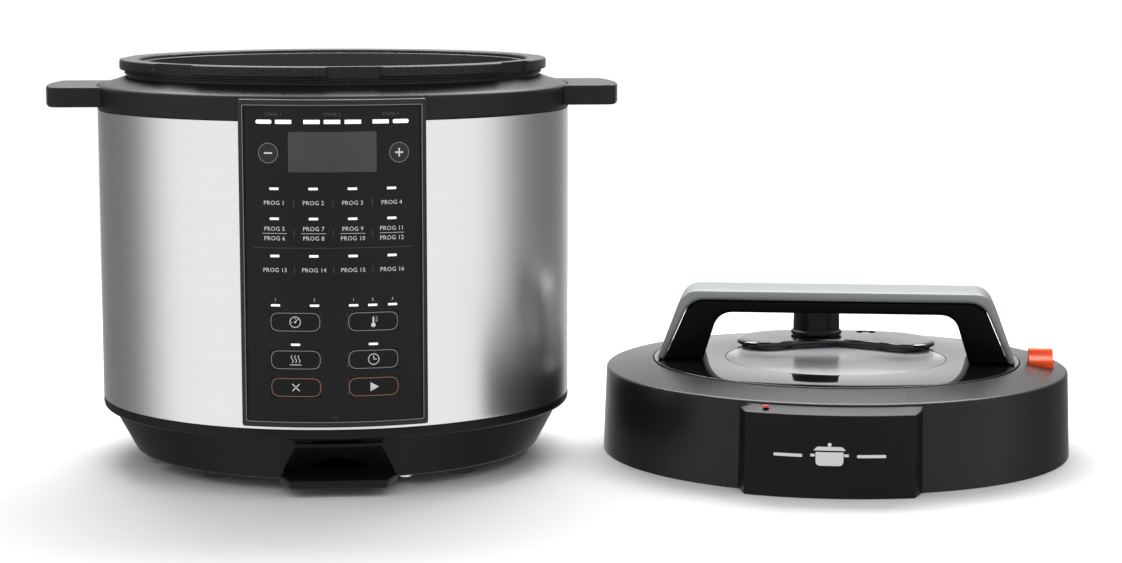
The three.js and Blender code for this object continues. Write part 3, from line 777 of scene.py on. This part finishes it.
def film_windows():
    """Where the film is open, as (left, right, low, high): round the keys and the display."""
    low, high = box_mm("display_window")
    half = DISPLAY_HALF + 0.15
    windows = [(-half, half, low[2] - 0.15, high[2] + 0.15)]
    sizes = {node: (KEY_HALF, KEY_TALL) for node in WIDE_KEYS}
    sizes |= {node: (ROUND_R, ROUND_R) for node in ROUND_KEYS}
    for node, (wide, tall) in sizes.items():
        x, z = key_middle(node)
        windows.append((x - wide - KEY_GAP, x + wide + KEY_GAP, z - tall - KEY_GAP, z + tall + KEY_GAP))
    return windows


def panel_overlay():
    """The printed film: a grid of cells with rectangular windows for the display and the keys."""
    holes = film_windows()
    xs = sorted({-FILM_HALF, FILM_HALF, *[x for h in holes for x in h[:2]]})
    zs = sorted({OVERLAY_LOW[2], OVERLAY_HIGH[2], *[z for h in holes for z in h[2:]]})

    def open_cell(i, k):
        x, z = (xs[i] + xs[i + 1]) / 2, (zs[k] + zs[k + 1]) / 2
        return any(h[0] < x < h[1] and h[2] < z < h[3] for h in holes)

    index = {}
    verts, faces = [], []

    def corner(i, k, depth):
        key = (i, k, depth)
        if key not in index:
            index[key] = len(verts)
            verts.append((xs[i], PANEL_R if depth else FILM_DEEP, zs[k]))
        return index[key]

    cells = {(i, k) for i in range(len(xs) - 1) for k in range(len(zs) - 1) if not open_cell(i, k)}
    for i, k in cells:
        round_cell = [(i, k), (i + 1, k), (i + 1, k + 1), (i, k + 1)]
        faces.append([corner(*at, 1) for at in round_cell])
        faces.append([corner(*at, 0) for at in round_cell[::-1]])
        edges = {(-1, 0): (i, k + 1, i, k), (1, 0): (i + 1, k, i + 1, k + 1),
                 (0, -1): (i, k, i + 1, k), (0, 1): (i + 1, k + 1, i, k + 1)}
        for (di, dk), (i0, k0, i1, k1) in edges.items():
            if (i + di, k + dk) not in cells:
                faces.append([corner(i0, k0, 1), corner(i0, k0, 0), corner(i1, k1, 0), corner(i1, k1, 1)])
    panel_piece("panel_film_sheet", verts, faces, FILM, nodes=["panel_overlay"])
    # Round keys sit in square windows, so a thin ring closes each corner.
    for node in ROUND_KEYS:
        x, z = key_middle(node)
        sides = 48
        inner, outer = [], []
        for i in range(sides):
            a = 2 * math.pi * i / sides + math.pi / 4
            c, s = math.cos(a), math.sin(a)
            reach = (ROUND_R + KEY_GAP) / max(abs(c), abs(s)) + 0.02
            inner.append((x + (ROUND_R + 0.15) * c, z + (ROUND_R + 0.15) * s))
            outer.append((x + reach * c, z + reach * s))
        panel_piece(f"film_corner_{node[4:]}", *band(outer, inner, FILM_DEEP, PANEL_R), FILM)


def panel_bezel():
    """The raised frame round the film: a slanted outer border, a painted highlight line along its ridge and
    a dark groove.
    """
    low, high = BEZEL_LOW[2], BEZEL_HIGH[2]
    steps = [
        # (inset from the outside, radius)
        (0.0, 138.35), (0.0, 139.6), (0.5, 140.6), (2.6, 141.4), (3.1, 141.45), (3.5, 141.2), (3.7, 140.2),
        (4.15, 140.2), (4.2, 138.35),
    ]

    def line(inset, corner):
        half = BEZEL_HALF - inset
        return soft_box(-half, half, low + inset, high - inset, corner, 3)

    verts = [(x, r, z) for inset, r in steps for x, z in line(inset, 1.6)]
    faces = stacked(len(verts) // len(steps), len(steps), closed=True)
    panel_piece("bezel_frame", verts, faces, BEZEL, nodes=["panel_bezel"])
    # A pale grey band on top of the bezel's ridge is a painted highlight, standing in for light caught by
    # the rounded edge.
    panel_piece("bezel_painted_highlight_line", *band(line(3.05, 1.2), line(3.4, 1.0), 141.38, 141.48), INK_LINES_AND_HIGHLIGHT)
    notch = [(-2.2, low + 5.2), (2.2, low + 5.2), (1.5, low + 6.4), (-1.5, low + 6.4)]
    panel_piece("panel_notch", *printed(notch, PANEL_R), RUBBER)


def display_window():
    low, high = box_mm("display_window")
    outline = soft_box(-DISPLAY_HALF, DISPLAY_HALF, low[2], high[2], 0.8, 3)
    glass = slab(outline, DISPLAY_DEEP, PANEL_R - 0.05)
    panel_piece("display_glass", *glass, DISPLAY, nodes=["display_window"], bevel=0.15)


def key_symbol(node, x, z, r0):
    """What is printed on a key: a plain picture of what it does."""
    line = 0.42
    if node == "key_pressure":
        return [hoop(x, z, 3.1, line, r0), bar(x + 0.7, z + 0.8, 2.6, line, r0, 0.8),
                dot(x, z, 0.55, r0), bar(x - 2.0, z - 0.2, 0.9, 0.3, r0), bar(x, z + 2.0, 0.3, 0.9, r0)]
    if node == "key_temp":
        return [dot(x, z - 1.9, 1.25, r0), bar(x, z + 0.6, 0.9, 4.0, r0, 0, 0.4),
                *[bar(x + 1.8, z + 0.2 + 1.1 * i, 1.0, 0.3, r0) for i in range(3)]]
    if node == "key_keep_warm":
        return [wave(x + 1.9 * i, z + 0.5, 1.0, 4.2, line, r0) for i in (-1, 0, 1)] + [
            bar(x, z - 2.7, 6.4, line, r0)]
    if node == "key_delay":
        return [hoop(x, z, 3.1, line, r0), bar(x, z + 1.0, line, 2.0, r0), bar(x + 0.8, z, 1.7, line, r0)]
    if node == "key_cancel":
        return [bar(x, z, 5.6, 0.55, r0, math.pi / 4), bar(x, z, 5.6, 0.55, r0, -math.pi / 4)]
    return [printed([(x - 1.9, z - 2.5), (x + 2.7, z), (x - 1.9, z + 2.5)], r0)]


def key_pieces(node, body, outline, material, frame_line, ink, symbol):
    """A key's cap, the line printed round it and the picture printed on it."""
    cap = slab(outline, KEY_DEEP, KEY_TOP)
    panel_piece(f"{node}_cap", *cap, material, body, [node], bevel=0.12)
    panel_piece(f"{node}_outline", *frame_line, ink, body)
    panel_piece(f"{node}_symbol", *merged(symbol), WHITE_INK, body)


def panel_keys():
    for node, body in WIDE_KEYS.items():
        x, z = key_middle(node)

        def inset(by, corner, steps):
            return soft_box(x - KEY_HALF + by, x + KEY_HALF - by, z - KEY_TALL + by, z + KEY_TALL - by,
                            corner, steps)

        outer = inset(KEY_LINE_IN, KEY_CORNER, 6)
        inner = inset(KEY_LINE_IN + KEY_LINE, KEY_CORNER - KEY_LINE, 6)
        frame_line = band(outer, inner, KEY_TOP, KEY_TOP + INK)
        ink = ORANGE_INK if node in ("key_cancel", "key_start") else INK_LINES_AND_HIGHLIGHT
        key_pieces(node, body, inset(0, 0.4, 2), KEY_FILM, frame_line, ink,
                   key_symbol(node, x, z, KEY_TOP))
    for node, body in ROUND_KEYS.items():
        x, z = key_middle(node)
        strokes = [bar(x, z, 4.6, 0.85, KEY_TOP)]
        if node == "key_plus":
            strokes.append(bar(x, z, 0.85, 4.6, KEY_TOP))
        key_pieces(node, body, circle(x, z, ROUND_R, 48), RUBBER,
                   hoop(x, z, ROUND_R - 0.1, 0.32, KEY_TOP, 56), INK_LINES_AND_HIGHLIGHT, strokes)


PROGRAMME_X = (-32, -10.6, 10.6, 32)
PROGRAMME_Z = (171.1, 154.8, 134.5)
STAGE_X = (-37.3, -26.4, -11, 0, 11.2, 26.3, 37.4)


def panel_print():
    """Lamps and printing on the film. The captions are plain numbers."""
    face = PANEL_R
    lamps = [bar(x, 207.3, 8.9, 2.2, face, 0, 1.0 if abs(x) > 30 else 0.2) for x in STAGE_X]
    lamps += [bar(x, z, 5, 1.3, face, 0, 0.2) for z in PROGRAMME_Z for x in PROGRAMME_X]
    lamps += [bar(x, 107.5, 5, 1.2, face, 0, 0.2) for x in (-32, -10.6, 10.6, 21, 32)]
    lamps += [bar(x, 86, 5, 1.2, face, 0, 0.2) for x in (-21.2, 21.2)]
    panel_piece("panel_lamps", *merged(lamps), LAMP)

    captions = []
    number = 1
    for row, z in enumerate(PROGRAMME_Z):
        for x in PROGRAMME_X:
            if row == 1:
                captions.append(text_slab(f"PROG {number}", x, z - 5.4, CAPTION_TALL, face))
                captions.append(text_slab(f"PROG {number + 1}", x, z - 10.6, CAPTION_TALL, face))
                captions.append(bar(x, z - 8.0, 13.5, 0.22, face))
                number += 2
            else:
                captions.append(text_slab(f"PROG {number}", x, z - 7.6, CAPTION_TALL, face))
                number += 1
    for x, word in ((-32, "1"), (-10.6, "2"), (10.6, "1"), (21, "2"), (32, "3")):
        captions.append(text_slab(word, x, 110.6, 1.5, face))
    panel_piece("panel_captions", *merged(captions), WHITE_INK)

    faint = []
    for x, word in ((-31.9, "STAGE 1"), (0, "STAGE 2"), (31.9, "STAGE 3")):
        faint.append(text_slab(word, x, 211.4, 1.7, face))
    for z in (163.5, 146.8, 126.9):
        faint += [bar(x, z, 0.25, 4.2, face) for x in (-21.3, 0, 21.3)]
    faint.append(bar(0, 138.9, 88, 0.18, face))
    panel_piece("panel_faint_print", *merged(faint), GREY_INK)


# ---- base: rear

def rear_parts():
    low, high = box_mm("condensation_collector")
    half, y0, y1 = 27.95, 142.45, 167.95
    wall = 1.8
    made = prism("collector_cup", rounded_rectangle(-half, half, y0, y1, 5), low[2], high[2], CLEAR,
                 "collector", ["condensation_collector"], bevel=0.8, steps=6)
    inner = soft_box(-half + wall, half - wall, y0 + wall, y1 - wall, 4)
    tools = [(*prism_data(inner, low[2] + wall, high[2] + 5), BASE)]
    for x in (-16, 16):
        tools.append((*slab(circle(x, 190, 2.9, 24), y0 - 3, y0 + 4), BASE))
    carved(made, tools)
    # Bright blades over the inlet's three pins.
    for index, (x, z) in enumerate(((-7, 56), (7, 56), (0, 60))):
        blade = [(x - 1.1, 121.5), (x + 1.1, 121.5), (x + 1.1, 136.6, 0.8), (x - 1.1, 136.6, 0.8)]
        prism(f"inlet_blade_{index + 1}", blade, z - 2.1, z + 2.1, BRIGHT, "base", bevel=0.2)


# ---- lid: covers

BUTTON = local(LID, "button_spring")
PIPE = local(LID, "steam_pipe")
FLOAT = local(LID, "float_valve")
TOP_Z = box_mm("lid_top_panel")[1][2]
DISC_R = 66
PIPE_HOLE_R = 8.6


def lid_covers():
    shell = lathe("lid_cover", [
        (139.75, 0, 0.6), (137.9, 49.5, 0.7), (136.8, 50.3, 1.0), (111.2, 54.5, 1.2), (109.9, 54.2, 0.5),
        (109.9, 51.9), (104.2, 51.9), (104.2, 49.9), (112, 49.9, 6), (134.6, 46.4, 5), (136.9, 0),
    ], LID_GREY, "lid", ["lid_shell"], LID, 256, 6)
    x, y = BUTTON
    hole = soft_box(x - 7.6, x + 7.6, y - 7.4, y + 7.4, 1.2)
    carved(shell, [(*prism_data(hole, 40, 62), LID)])
    front_badge()
    panel = lathe("lid_gloss_panel", [
        (0, 52.3), (109.3, 52.3, 0.2), (109.3, TOP_Z, 0.5), (DISC_R + 0.4, TOP_Z, 0.15),
        (DISC_R + 0.4, 53.7), (0, 53.7),
    ], GLOSS, "lid", ["lid_top_panel"], LID, 256)
    carved(panel, [lid_hole(PIPE, PIPE_HOLE_R, 50, 60), lid_hole(FLOAT, 5, 50, 60)])
    # Its light base colour is partly a painted reflection of the bright overhead.
    disc = lathe("lid_satin_disc", [(0, 53.85), (DISC_R, 53.85), (DISC_R, TOP_Z, 0.3), (0, TOP_Z)],
                 DISC_GREY_WITH_PAINTED_SHEEN, "lid", ["lid_disc"], LID, 192)
    carved(disc, [lid_hole(PIPE, PIPE_HOLE_R, 50, 60)])


BADGE_AT = -91
BADGE_R = 152


def front_badge():
    """The raised front plate, as deep as the skirt, with slanted side faces and a sloping top."""
    half = math.degrees(math.asin(47 / BADGE_R))
    root_half = math.degrees(math.asin(51.5 / 140))
    slices = [
        # (height, front radius, root radius)
        (0.0, 151.4, 139.4), (0.7, 151.95, 139.4), (45.4, 151.95, 137.8), (46.4, 151.4, 137.8),
        (48.7, 139.6, 137.7), (48.9, 138.6, 137.6),
    ]
    steps = 28
    verts = []
    for z, front, back in slices:
        verts += [(x, y, z) for x, y in arc(front, BADGE_AT - half, BADGE_AT + half, steps)]
        verts += [(x, y, z) for x, y in arc(back, BADGE_AT + root_half, BADGE_AT - root_half, steps)]
    count = 2 * (steps + 1)
    faces = stacked(count, len(slices))
    for first in (0, (len(slices) - 1) * count):
        last = first + count - 1
        faces += [(first + i, first + i + 1, last - 1 - i, last - i) for i in range(steps)]
    made = piece("badge_plate", verts, faces, BADGE_GREY, "lid", ["front_badge"], LID, 25)
    bevelled(made, 0.5, 2, 40)
    badge_picture()


def badge_picture():
    """A plain picture of a pot between two bars, in place of a name."""
    z = 24
    face = BADGE_R - 0.06
    body = rounded([(-7.6, z - 5.4, 2.6), (7.6, z - 5.4, 2.6), (7.6, z + 2.2), (-7.6, z + 2.2)])
    rim = rounded([(-8.8, z + 3.1), (8.8, z + 3.1), (7.0, z + 5.2, 1.2), (-7.0, z + 5.2, 1.2)])
    parts = [printed(body, face), printed(rim, face), dot(0, z + 6.3, 1.1, face)]
    for side in (-1, 1):
        parts.append(bar(side * 9.2, z + 0.4, 2.6, 1.5, face, 0, 0.3))
        parts.append(bar(side * 23, z, 16, 1.7, face, 0, 0.6))
    verts, faces = merged([lists_of(sliced(shape_of(*part), 3)) for part in parts])
    wrapped = []
    for x, depth, height in verts:
        angle = x / BADGE_R + math.radians(BADGE_AT + 90)
        wrapped.append((depth * math.sin(angle), -depth * math.cos(angle), height))
    piece("badge_picture", wrapped, faces, WHITE_INK, "lid", (), LID, 30)


def shield_outline(grow):
    """Plan of the valve shield: wavy in front, rounded behind."""
    half = [(0, 37), (15, 33), (28, 26.5), (37, 21), (46, 19), (56, 25), (61, 38), (57, 58), (38, 75),
            (0, 80)]
    ring = half + [(-x, y) for x, y in half[1:-1][::-1]]
    middle = Vector((0, 48))
    points = []
    count = len(ring)
    for i in range(count):
        p0, p1, p2, p3 = (Vector(ring[(i + k) % count]) for k in (-1, 0, 1, 2))
        for k in range(6):
            t = k / 6
            spot = 0.5 * ((2 * p1) + (p2 - p0) * t + (2 * p0 - 5 * p1 + 4 * p2 - p3) * t * t
                          + (3 * p1 - p0 - 3 * p2 + p3) * t ** 3)
            away = spot - middle
            points.append(middle + away * (1 + grow / away.length))
    return points


def valve_shield():
    """The glossy raised shield: an undercut foot, a rounded rim and a gently domed top."""
    layers = [
        # (how far the plan grows, height)
        (-3.2, 55.15), (-3.0, 57.0), (-0.9, 57.25), (-0.3, 57.6), (-0.1, 58.4), (-0.4, 59.3),
        (-1.4, 59.9), (-3.5, 60.1), (-9, 60.15),
    ]
    verts = [(p.x, p.y, z) for grow, z in layers for p in shield_outline(grow)]
    faces = capped(len(verts) // len(layers), len(layers))
    made = piece("shield_cover", verts, faces, GLOSS, "lid", ["valve_shield"], LID, 40)
    carved(made, [lid_hole(PIPE, PIPE_HOLE_R, 50, 70), lid_hole(FLOAT, 6.2, 50, 70)])


ARCH_BEND = 9


def arch_outline(outer, inner, foot):
    """Front view of an arch: each side is its foot's x, its shoulder's x and its top's height."""
    right = [(outer[1], outer[2], ARCH_BEND), (outer[0], foot), (inner[0], foot),
             (inner[1], inner[2], ARCH_BEND)]
    left = [(-point[0], *point[1:]) for point in right[::-1]]
    return rounded(left + right, 10)


HANDLE_DEEP = 21.5


def handle():
    """The arched handle: a black core with a satin silver cap along its outside."""
    foot = TOP_Z + 0.3

    def arch(name, outline, half, material, nodes, bevel):
        made = piece(name, *slab(outline, -half, half, True), material, "lid", nodes, LID, 30)
        bevelled(made, bevel, 3, 40)

    trim = arch_outline((106.5, 90.9, 96.9), (102.4, 86.7, 91.5), foot)
    arch("handle_cap", trim, HANDLE_DEEP - 0.05, SILVER, ["handle_trim"], 1.5)
    core = arch_outline((102.0, 86.3, 91.1), (79, 70, 84), foot)
    arch("handle_grip", core, HANDLE_DEEP - 1.55, HANDLE_BLACK, ["handle_core"], 1.2)


def valves():
    lathe("steam_knob", [
        (0, 79), (5, 79), (5, 44.3), (7.9, 44.3, 0.4), (7.9, 60.95), (15.7, 60.95, 0.4), (15.7, 62.85, 0.8),
        (14.4, 63.5, 0.4), (14.1, 81, 0.5), (13.0, 83, 1.6), (6, 83, 0.5), (5.4, 82.2, 0.5), (0, 82.2),
    ], BLACK, "valve", ["steam_valve"], Matrix.Translation(axis_of("steam_valve")), 96)
    lathe("float_pin", [
        (0, 14.3), (3.9, 14.3, 0.5), (3.9, 58.7, 0.8), (3.2, 59.35, 0.5), (0, 59.2),
    ], BRIGHT, "float", ["float_valve"], Matrix.Translation(axis_of("float_valve")), 48)


def release_button():
    """The orange push tab: low in front, hollowed for the thumb and raised behind, on a flange and stem."""
    x, y = BUTTON
    profile = rounded([
        (-6.95, 46), (6.95, 46), (6.95, 61.2, 0.9), (5.6, 61.95, 1), (2.2, 61.9, 1.8), (-0.4, 58.2, 4),
        (-5.4, 56.6, 2), (-6.95, 55.2, 1.0),
    ], 4)
    verts = [(x + side * 7.15, y + along, z) for side in (-1, 1) for along, z in profile]
    faces = capped(len(profile), 2, True)
    made = piece("push_tab", verts, faces, ORANGE, "button", ["release_button"], LID, 30)
    bevelled(made, 0.6, 3, 45)
    blocks = {
        # name: (left, right, half depth, low, high)
        "flange": (-15.9, 9.4, 6.9, 44.1, 46.4),
        "stem": (-2.9, 2.9, 2.9, 41.1, 44.3),
    }
    for name, (left, right, half, low, high) in blocks.items():
        plan = [(x + left, y - half), (x + right, y - half), (x + right, y + half), (x + left, y + half)]
        prism(f"push_tab_{name}", plan, low, high, ORANGE, "button", place=LID)


def pressure_side():
    """What the lid hides: the steel plate with its lugs, the seal and the rack."""
    plate = lathe("pressure_plate", [
        (0, 22.1), (98, 22.1, 1), (101, 21.3, 1), (126.9, 21.9, 2), (126.9, 4.1, 0.3), (129, 4.1, 0.3),
        (129, 23.9, 2.5), (0, 23.9),
    ], BRIGHT, "lid", ["lid_plate"], LID, 256)
    lug_tools = []
    for i in range(NOTCHES):
        at = FIRST_LUG + 360 / NOTCHES * i
        outline = arc(128.2, at - 4.5, at + 4.5, 8) + arc(123.1, at + 4.4, at - 4.4, 8)
        lug_tools.append((*prism_data(outline, 4.2, 6.8), LID))
    carved(plate, lug_tools, "UNION")
    carved(plate, [lid_hole(PIPE, 4.4, 10, 30), lid_hole(FLOAT, 4.6, 10, 30)])
    lathe("seal_lip", [
        (105.1, 12.4, 0.5), (110, 12.4, 0.8), (112.3, 14.2, 1), (112.3, 21.6, 0.8), (105.1, 21.6, 0.8),
        (108, 17, 1.5),
    ], SILICONE, "lid_seal", ["sealing_ring"], LID, 192)
    lathe("rack_wire", circle(102.8, 16, 1.35, 16), BRIGHT, "lid", ["ring_rack"], LID, 160)


def coil(name, node, radius, wire, turns, ends, body, place, centre):
    """A coil spring between two heights, on a mesh of its own."""
    low, high = ends
    steps = 28 * turns
    section = circle(0, 0, wire, 8)
    verts = []
    for i in range(steps + 1):
        turn = 2 * math.pi * turns * i / steps
        z = low + wire + (high - low - 2 * wire) * i / steps
        for out, up in section:
            reach = radius + out
            verts.append((centre[0] + reach * math.cos(turn), centre[1] + reach * math.sin(turn), z + up))
    made = piece(name, verts, capped(len(section), steps + 1), BRIGHT, body, [node], place)
    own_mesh(made)


def springs():
    coil("sensor_coil", "sensor_spring", 9, 0.8, 3, (67.8, 78.2), "base", BASE, (0, 0))
    coil("button_coil", "button_spring", 4.5, 0.6, 4, (24.4, 40.7), "lid", LID, BUTTON)


# ---- build

CARRIED_OVER = {
    DARK: ["bottom_plate"],
    BRIGHT: [*[f"bottom_screw_{index}" for index in range(1, 5)], "anti_block_shield", "steam_pipe",
             "release_lever", "lever_pin", "lever_bracket", "centre_ball"],
    SILICONE: ["thermal_fuse", "float_seal"],
    BLACK: ["pressure_switch", "collector_bracket", "power_inlet"],
    BOARD: ["power_board", "control_board"],
    ORANGE: ["lock_indicator"],
}

steel_shell()
top_collar()
side_handle(1, "handle_right")
side_handle(-1, "handle_left")
lock_ring()
base_housing()
feet()
cooking_side()
panel_overlay()
panel_bezel()
display_window()
panel_keys()
panel_print()
rear_parts()
lid_covers()
valve_shield()
handle()
valves()
release_button()
pressure_side()
springs()
for material, nodes in CARRIED_OVER.items():
    for node in nodes:
        repaint(node, material)


# ---- stage, camera and light

def floor():
    size = 6
    corners = [(x * size, y * size, 0) for x, y in ((-1, -1), (1, -1), (1, 1), (-1, 1))]
    mesh = bpy.data.meshes.new("floor")
    mesh.from_pydata(corners, [], [(0, 1, 2, 3)])
    made = linked("floor", mesh)
    material, tree, shader = node_material("floor_white")
    cloudy = add_noise(tree, 0.8, 2)
    feed(tree, shader, {
        "Base Color": tinted(tree, cloudy, (0.73, 0.73, 0.73), (0.75, 0.75, 0.75)),
        "Roughness": 0.7,
        "Specular IOR Level": 0.1,
    })
    # Away from the cooker the table fades into an evenly lit sweep.
    place = add_node(tree, "TexCoord").outputs["Object"]
    away = add_node(tree, "VectorMath", {0: place}, operation="LENGTH").outputs["Value"]
    fade = add_node(tree, "MapRange", {"Value": away, "From Min": 0.45, "From Max": 1.1},
                    interpolation_type="SMOOTHSTEP").outputs["Result"]
    glow = add_node(tree, "Emission", {"Color": (1, 1, 1, 1), "Strength": 1.02}).outputs["Emission"]
    mixed = add_node(tree, "MixShader", {"Fac": fade, 1: shader.outputs["BSDF"], 2: glow})
    feed(tree, tree.nodes["Material Output"], {"Surface": mixed.outputs["Shader"]})
    mesh.materials.append(material)
    made.visible_glossy = False


CAMERA_BACK = 1540
CAMERA_RIGHT = 134
CAMERA_HIGH = 303
CAMERA_PITCH = 7.42


def camera():
    data = bpy.data.cameras.new("camera")
    data.lens = 83.5
    data.sensor_width = 36
    data.clip_start = 0.05
    data.clip_end = 50
    made = linked("camera", data)
    stand = axis_of("steel_shell") + Vector((CAMERA_RIGHT, -CAMERA_BACK, CAMERA_HIGH))
    made.location = stand * MM
    made.rotation_euler = (math.radians(90 - CAMERA_PITCH), 0, 0)
    bpy.context.scene.camera = made


def top_light():
    """A softbox above and behind, aimed at the cooker."""
    data = bpy.data.lights.new("top_light", "AREA")
    data.shape = "RECTANGLE"
    data.size, data.size_y = 2.2, 1.0
    data.energy = 62
    made = linked("top_light", data)
    made.location = (0, 1.2, 1.7)
    aim = Vector((0, -0.1, 0)) - made.location
    made.rotation_euler = aim.to_track_quat("-Z", "Y").to_euler()


STUDIO_STOPS = [
    # (0 straight in front of the cooker to 1 straight behind it, brightness)
    (0.0, 0.85), (0.14, 0.85), (0.24, 1.25), (0.42, 1.20), (0.52, 0.55), (0.60, 0.17), (0.85, 0.13),
    (0.94, 1.10),
]


def surroundings():
    """A white studio: pure white behind, and soft bright and dim zones all round for reflections."""
    world = bpy.data.worlds.new("studio")
    bpy.context.scene.world = world
    world.use_nodes = True
    tree = world.node_tree
    tree.nodes.clear()
    place = add_node(tree, "TexCoord").outputs["Generated"]
    x, y, z = add_node(tree, "SeparateXYZ", {"Vector": place}).outputs
    turn = calculated(tree, "ARCTAN2", calculated(tree, "ABSOLUTE", x), calculated(tree, "MULTIPLY", y, -1))
    ramp = add_node(tree, "ValToRGB", {"Fac": calculated(tree, "DIVIDE", turn, math.pi)})
    ramp.color_ramp.interpolation = "B_SPLINE"
    elements = ramp.color_ramp.elements
    while len(elements) < len(STUDIO_STOPS):
        elements.new(0.5)
    for element, (where, bright) in zip(elements, STUDIO_STOPS):
        element.position = where
        element.color = (bright, bright, bright, 1)
    overhead = add_node(tree, "MapRange", {"Value": z, "From Min": 0.3, "From Max": 0.8},
                        interpolation_type="SMOOTHSTEP").outputs["Result"]
    sky = add_node(tree, "MixRGB", {
        "Fac": overhead, "Color1": ramp.outputs["Color"], "Color2": (1.1, 1.1, 1.1, 1),
    }).outputs["Color"]
    felt = add_node(tree, "Background", {"Color": sky, "Strength": 1.0}).outputs["Background"]
    seen = add_node(tree, "Background", {"Color": (1, 1, 1, 1), "Strength": 1.0}).outputs["Background"]
    rays = add_node(tree, "LightPath").outputs["Is Camera Ray"]
    mixed = add_node(tree, "MixShader", {"Fac": rays, 1: felt, 2: seen}).outputs["Shader"]
    add_node(tree, "OutputWorld", {"Surface": mixed})


floor()
camera()
surroundings()
top_light()
bpy.context.scene.view_settings.view_transform = "Standard"
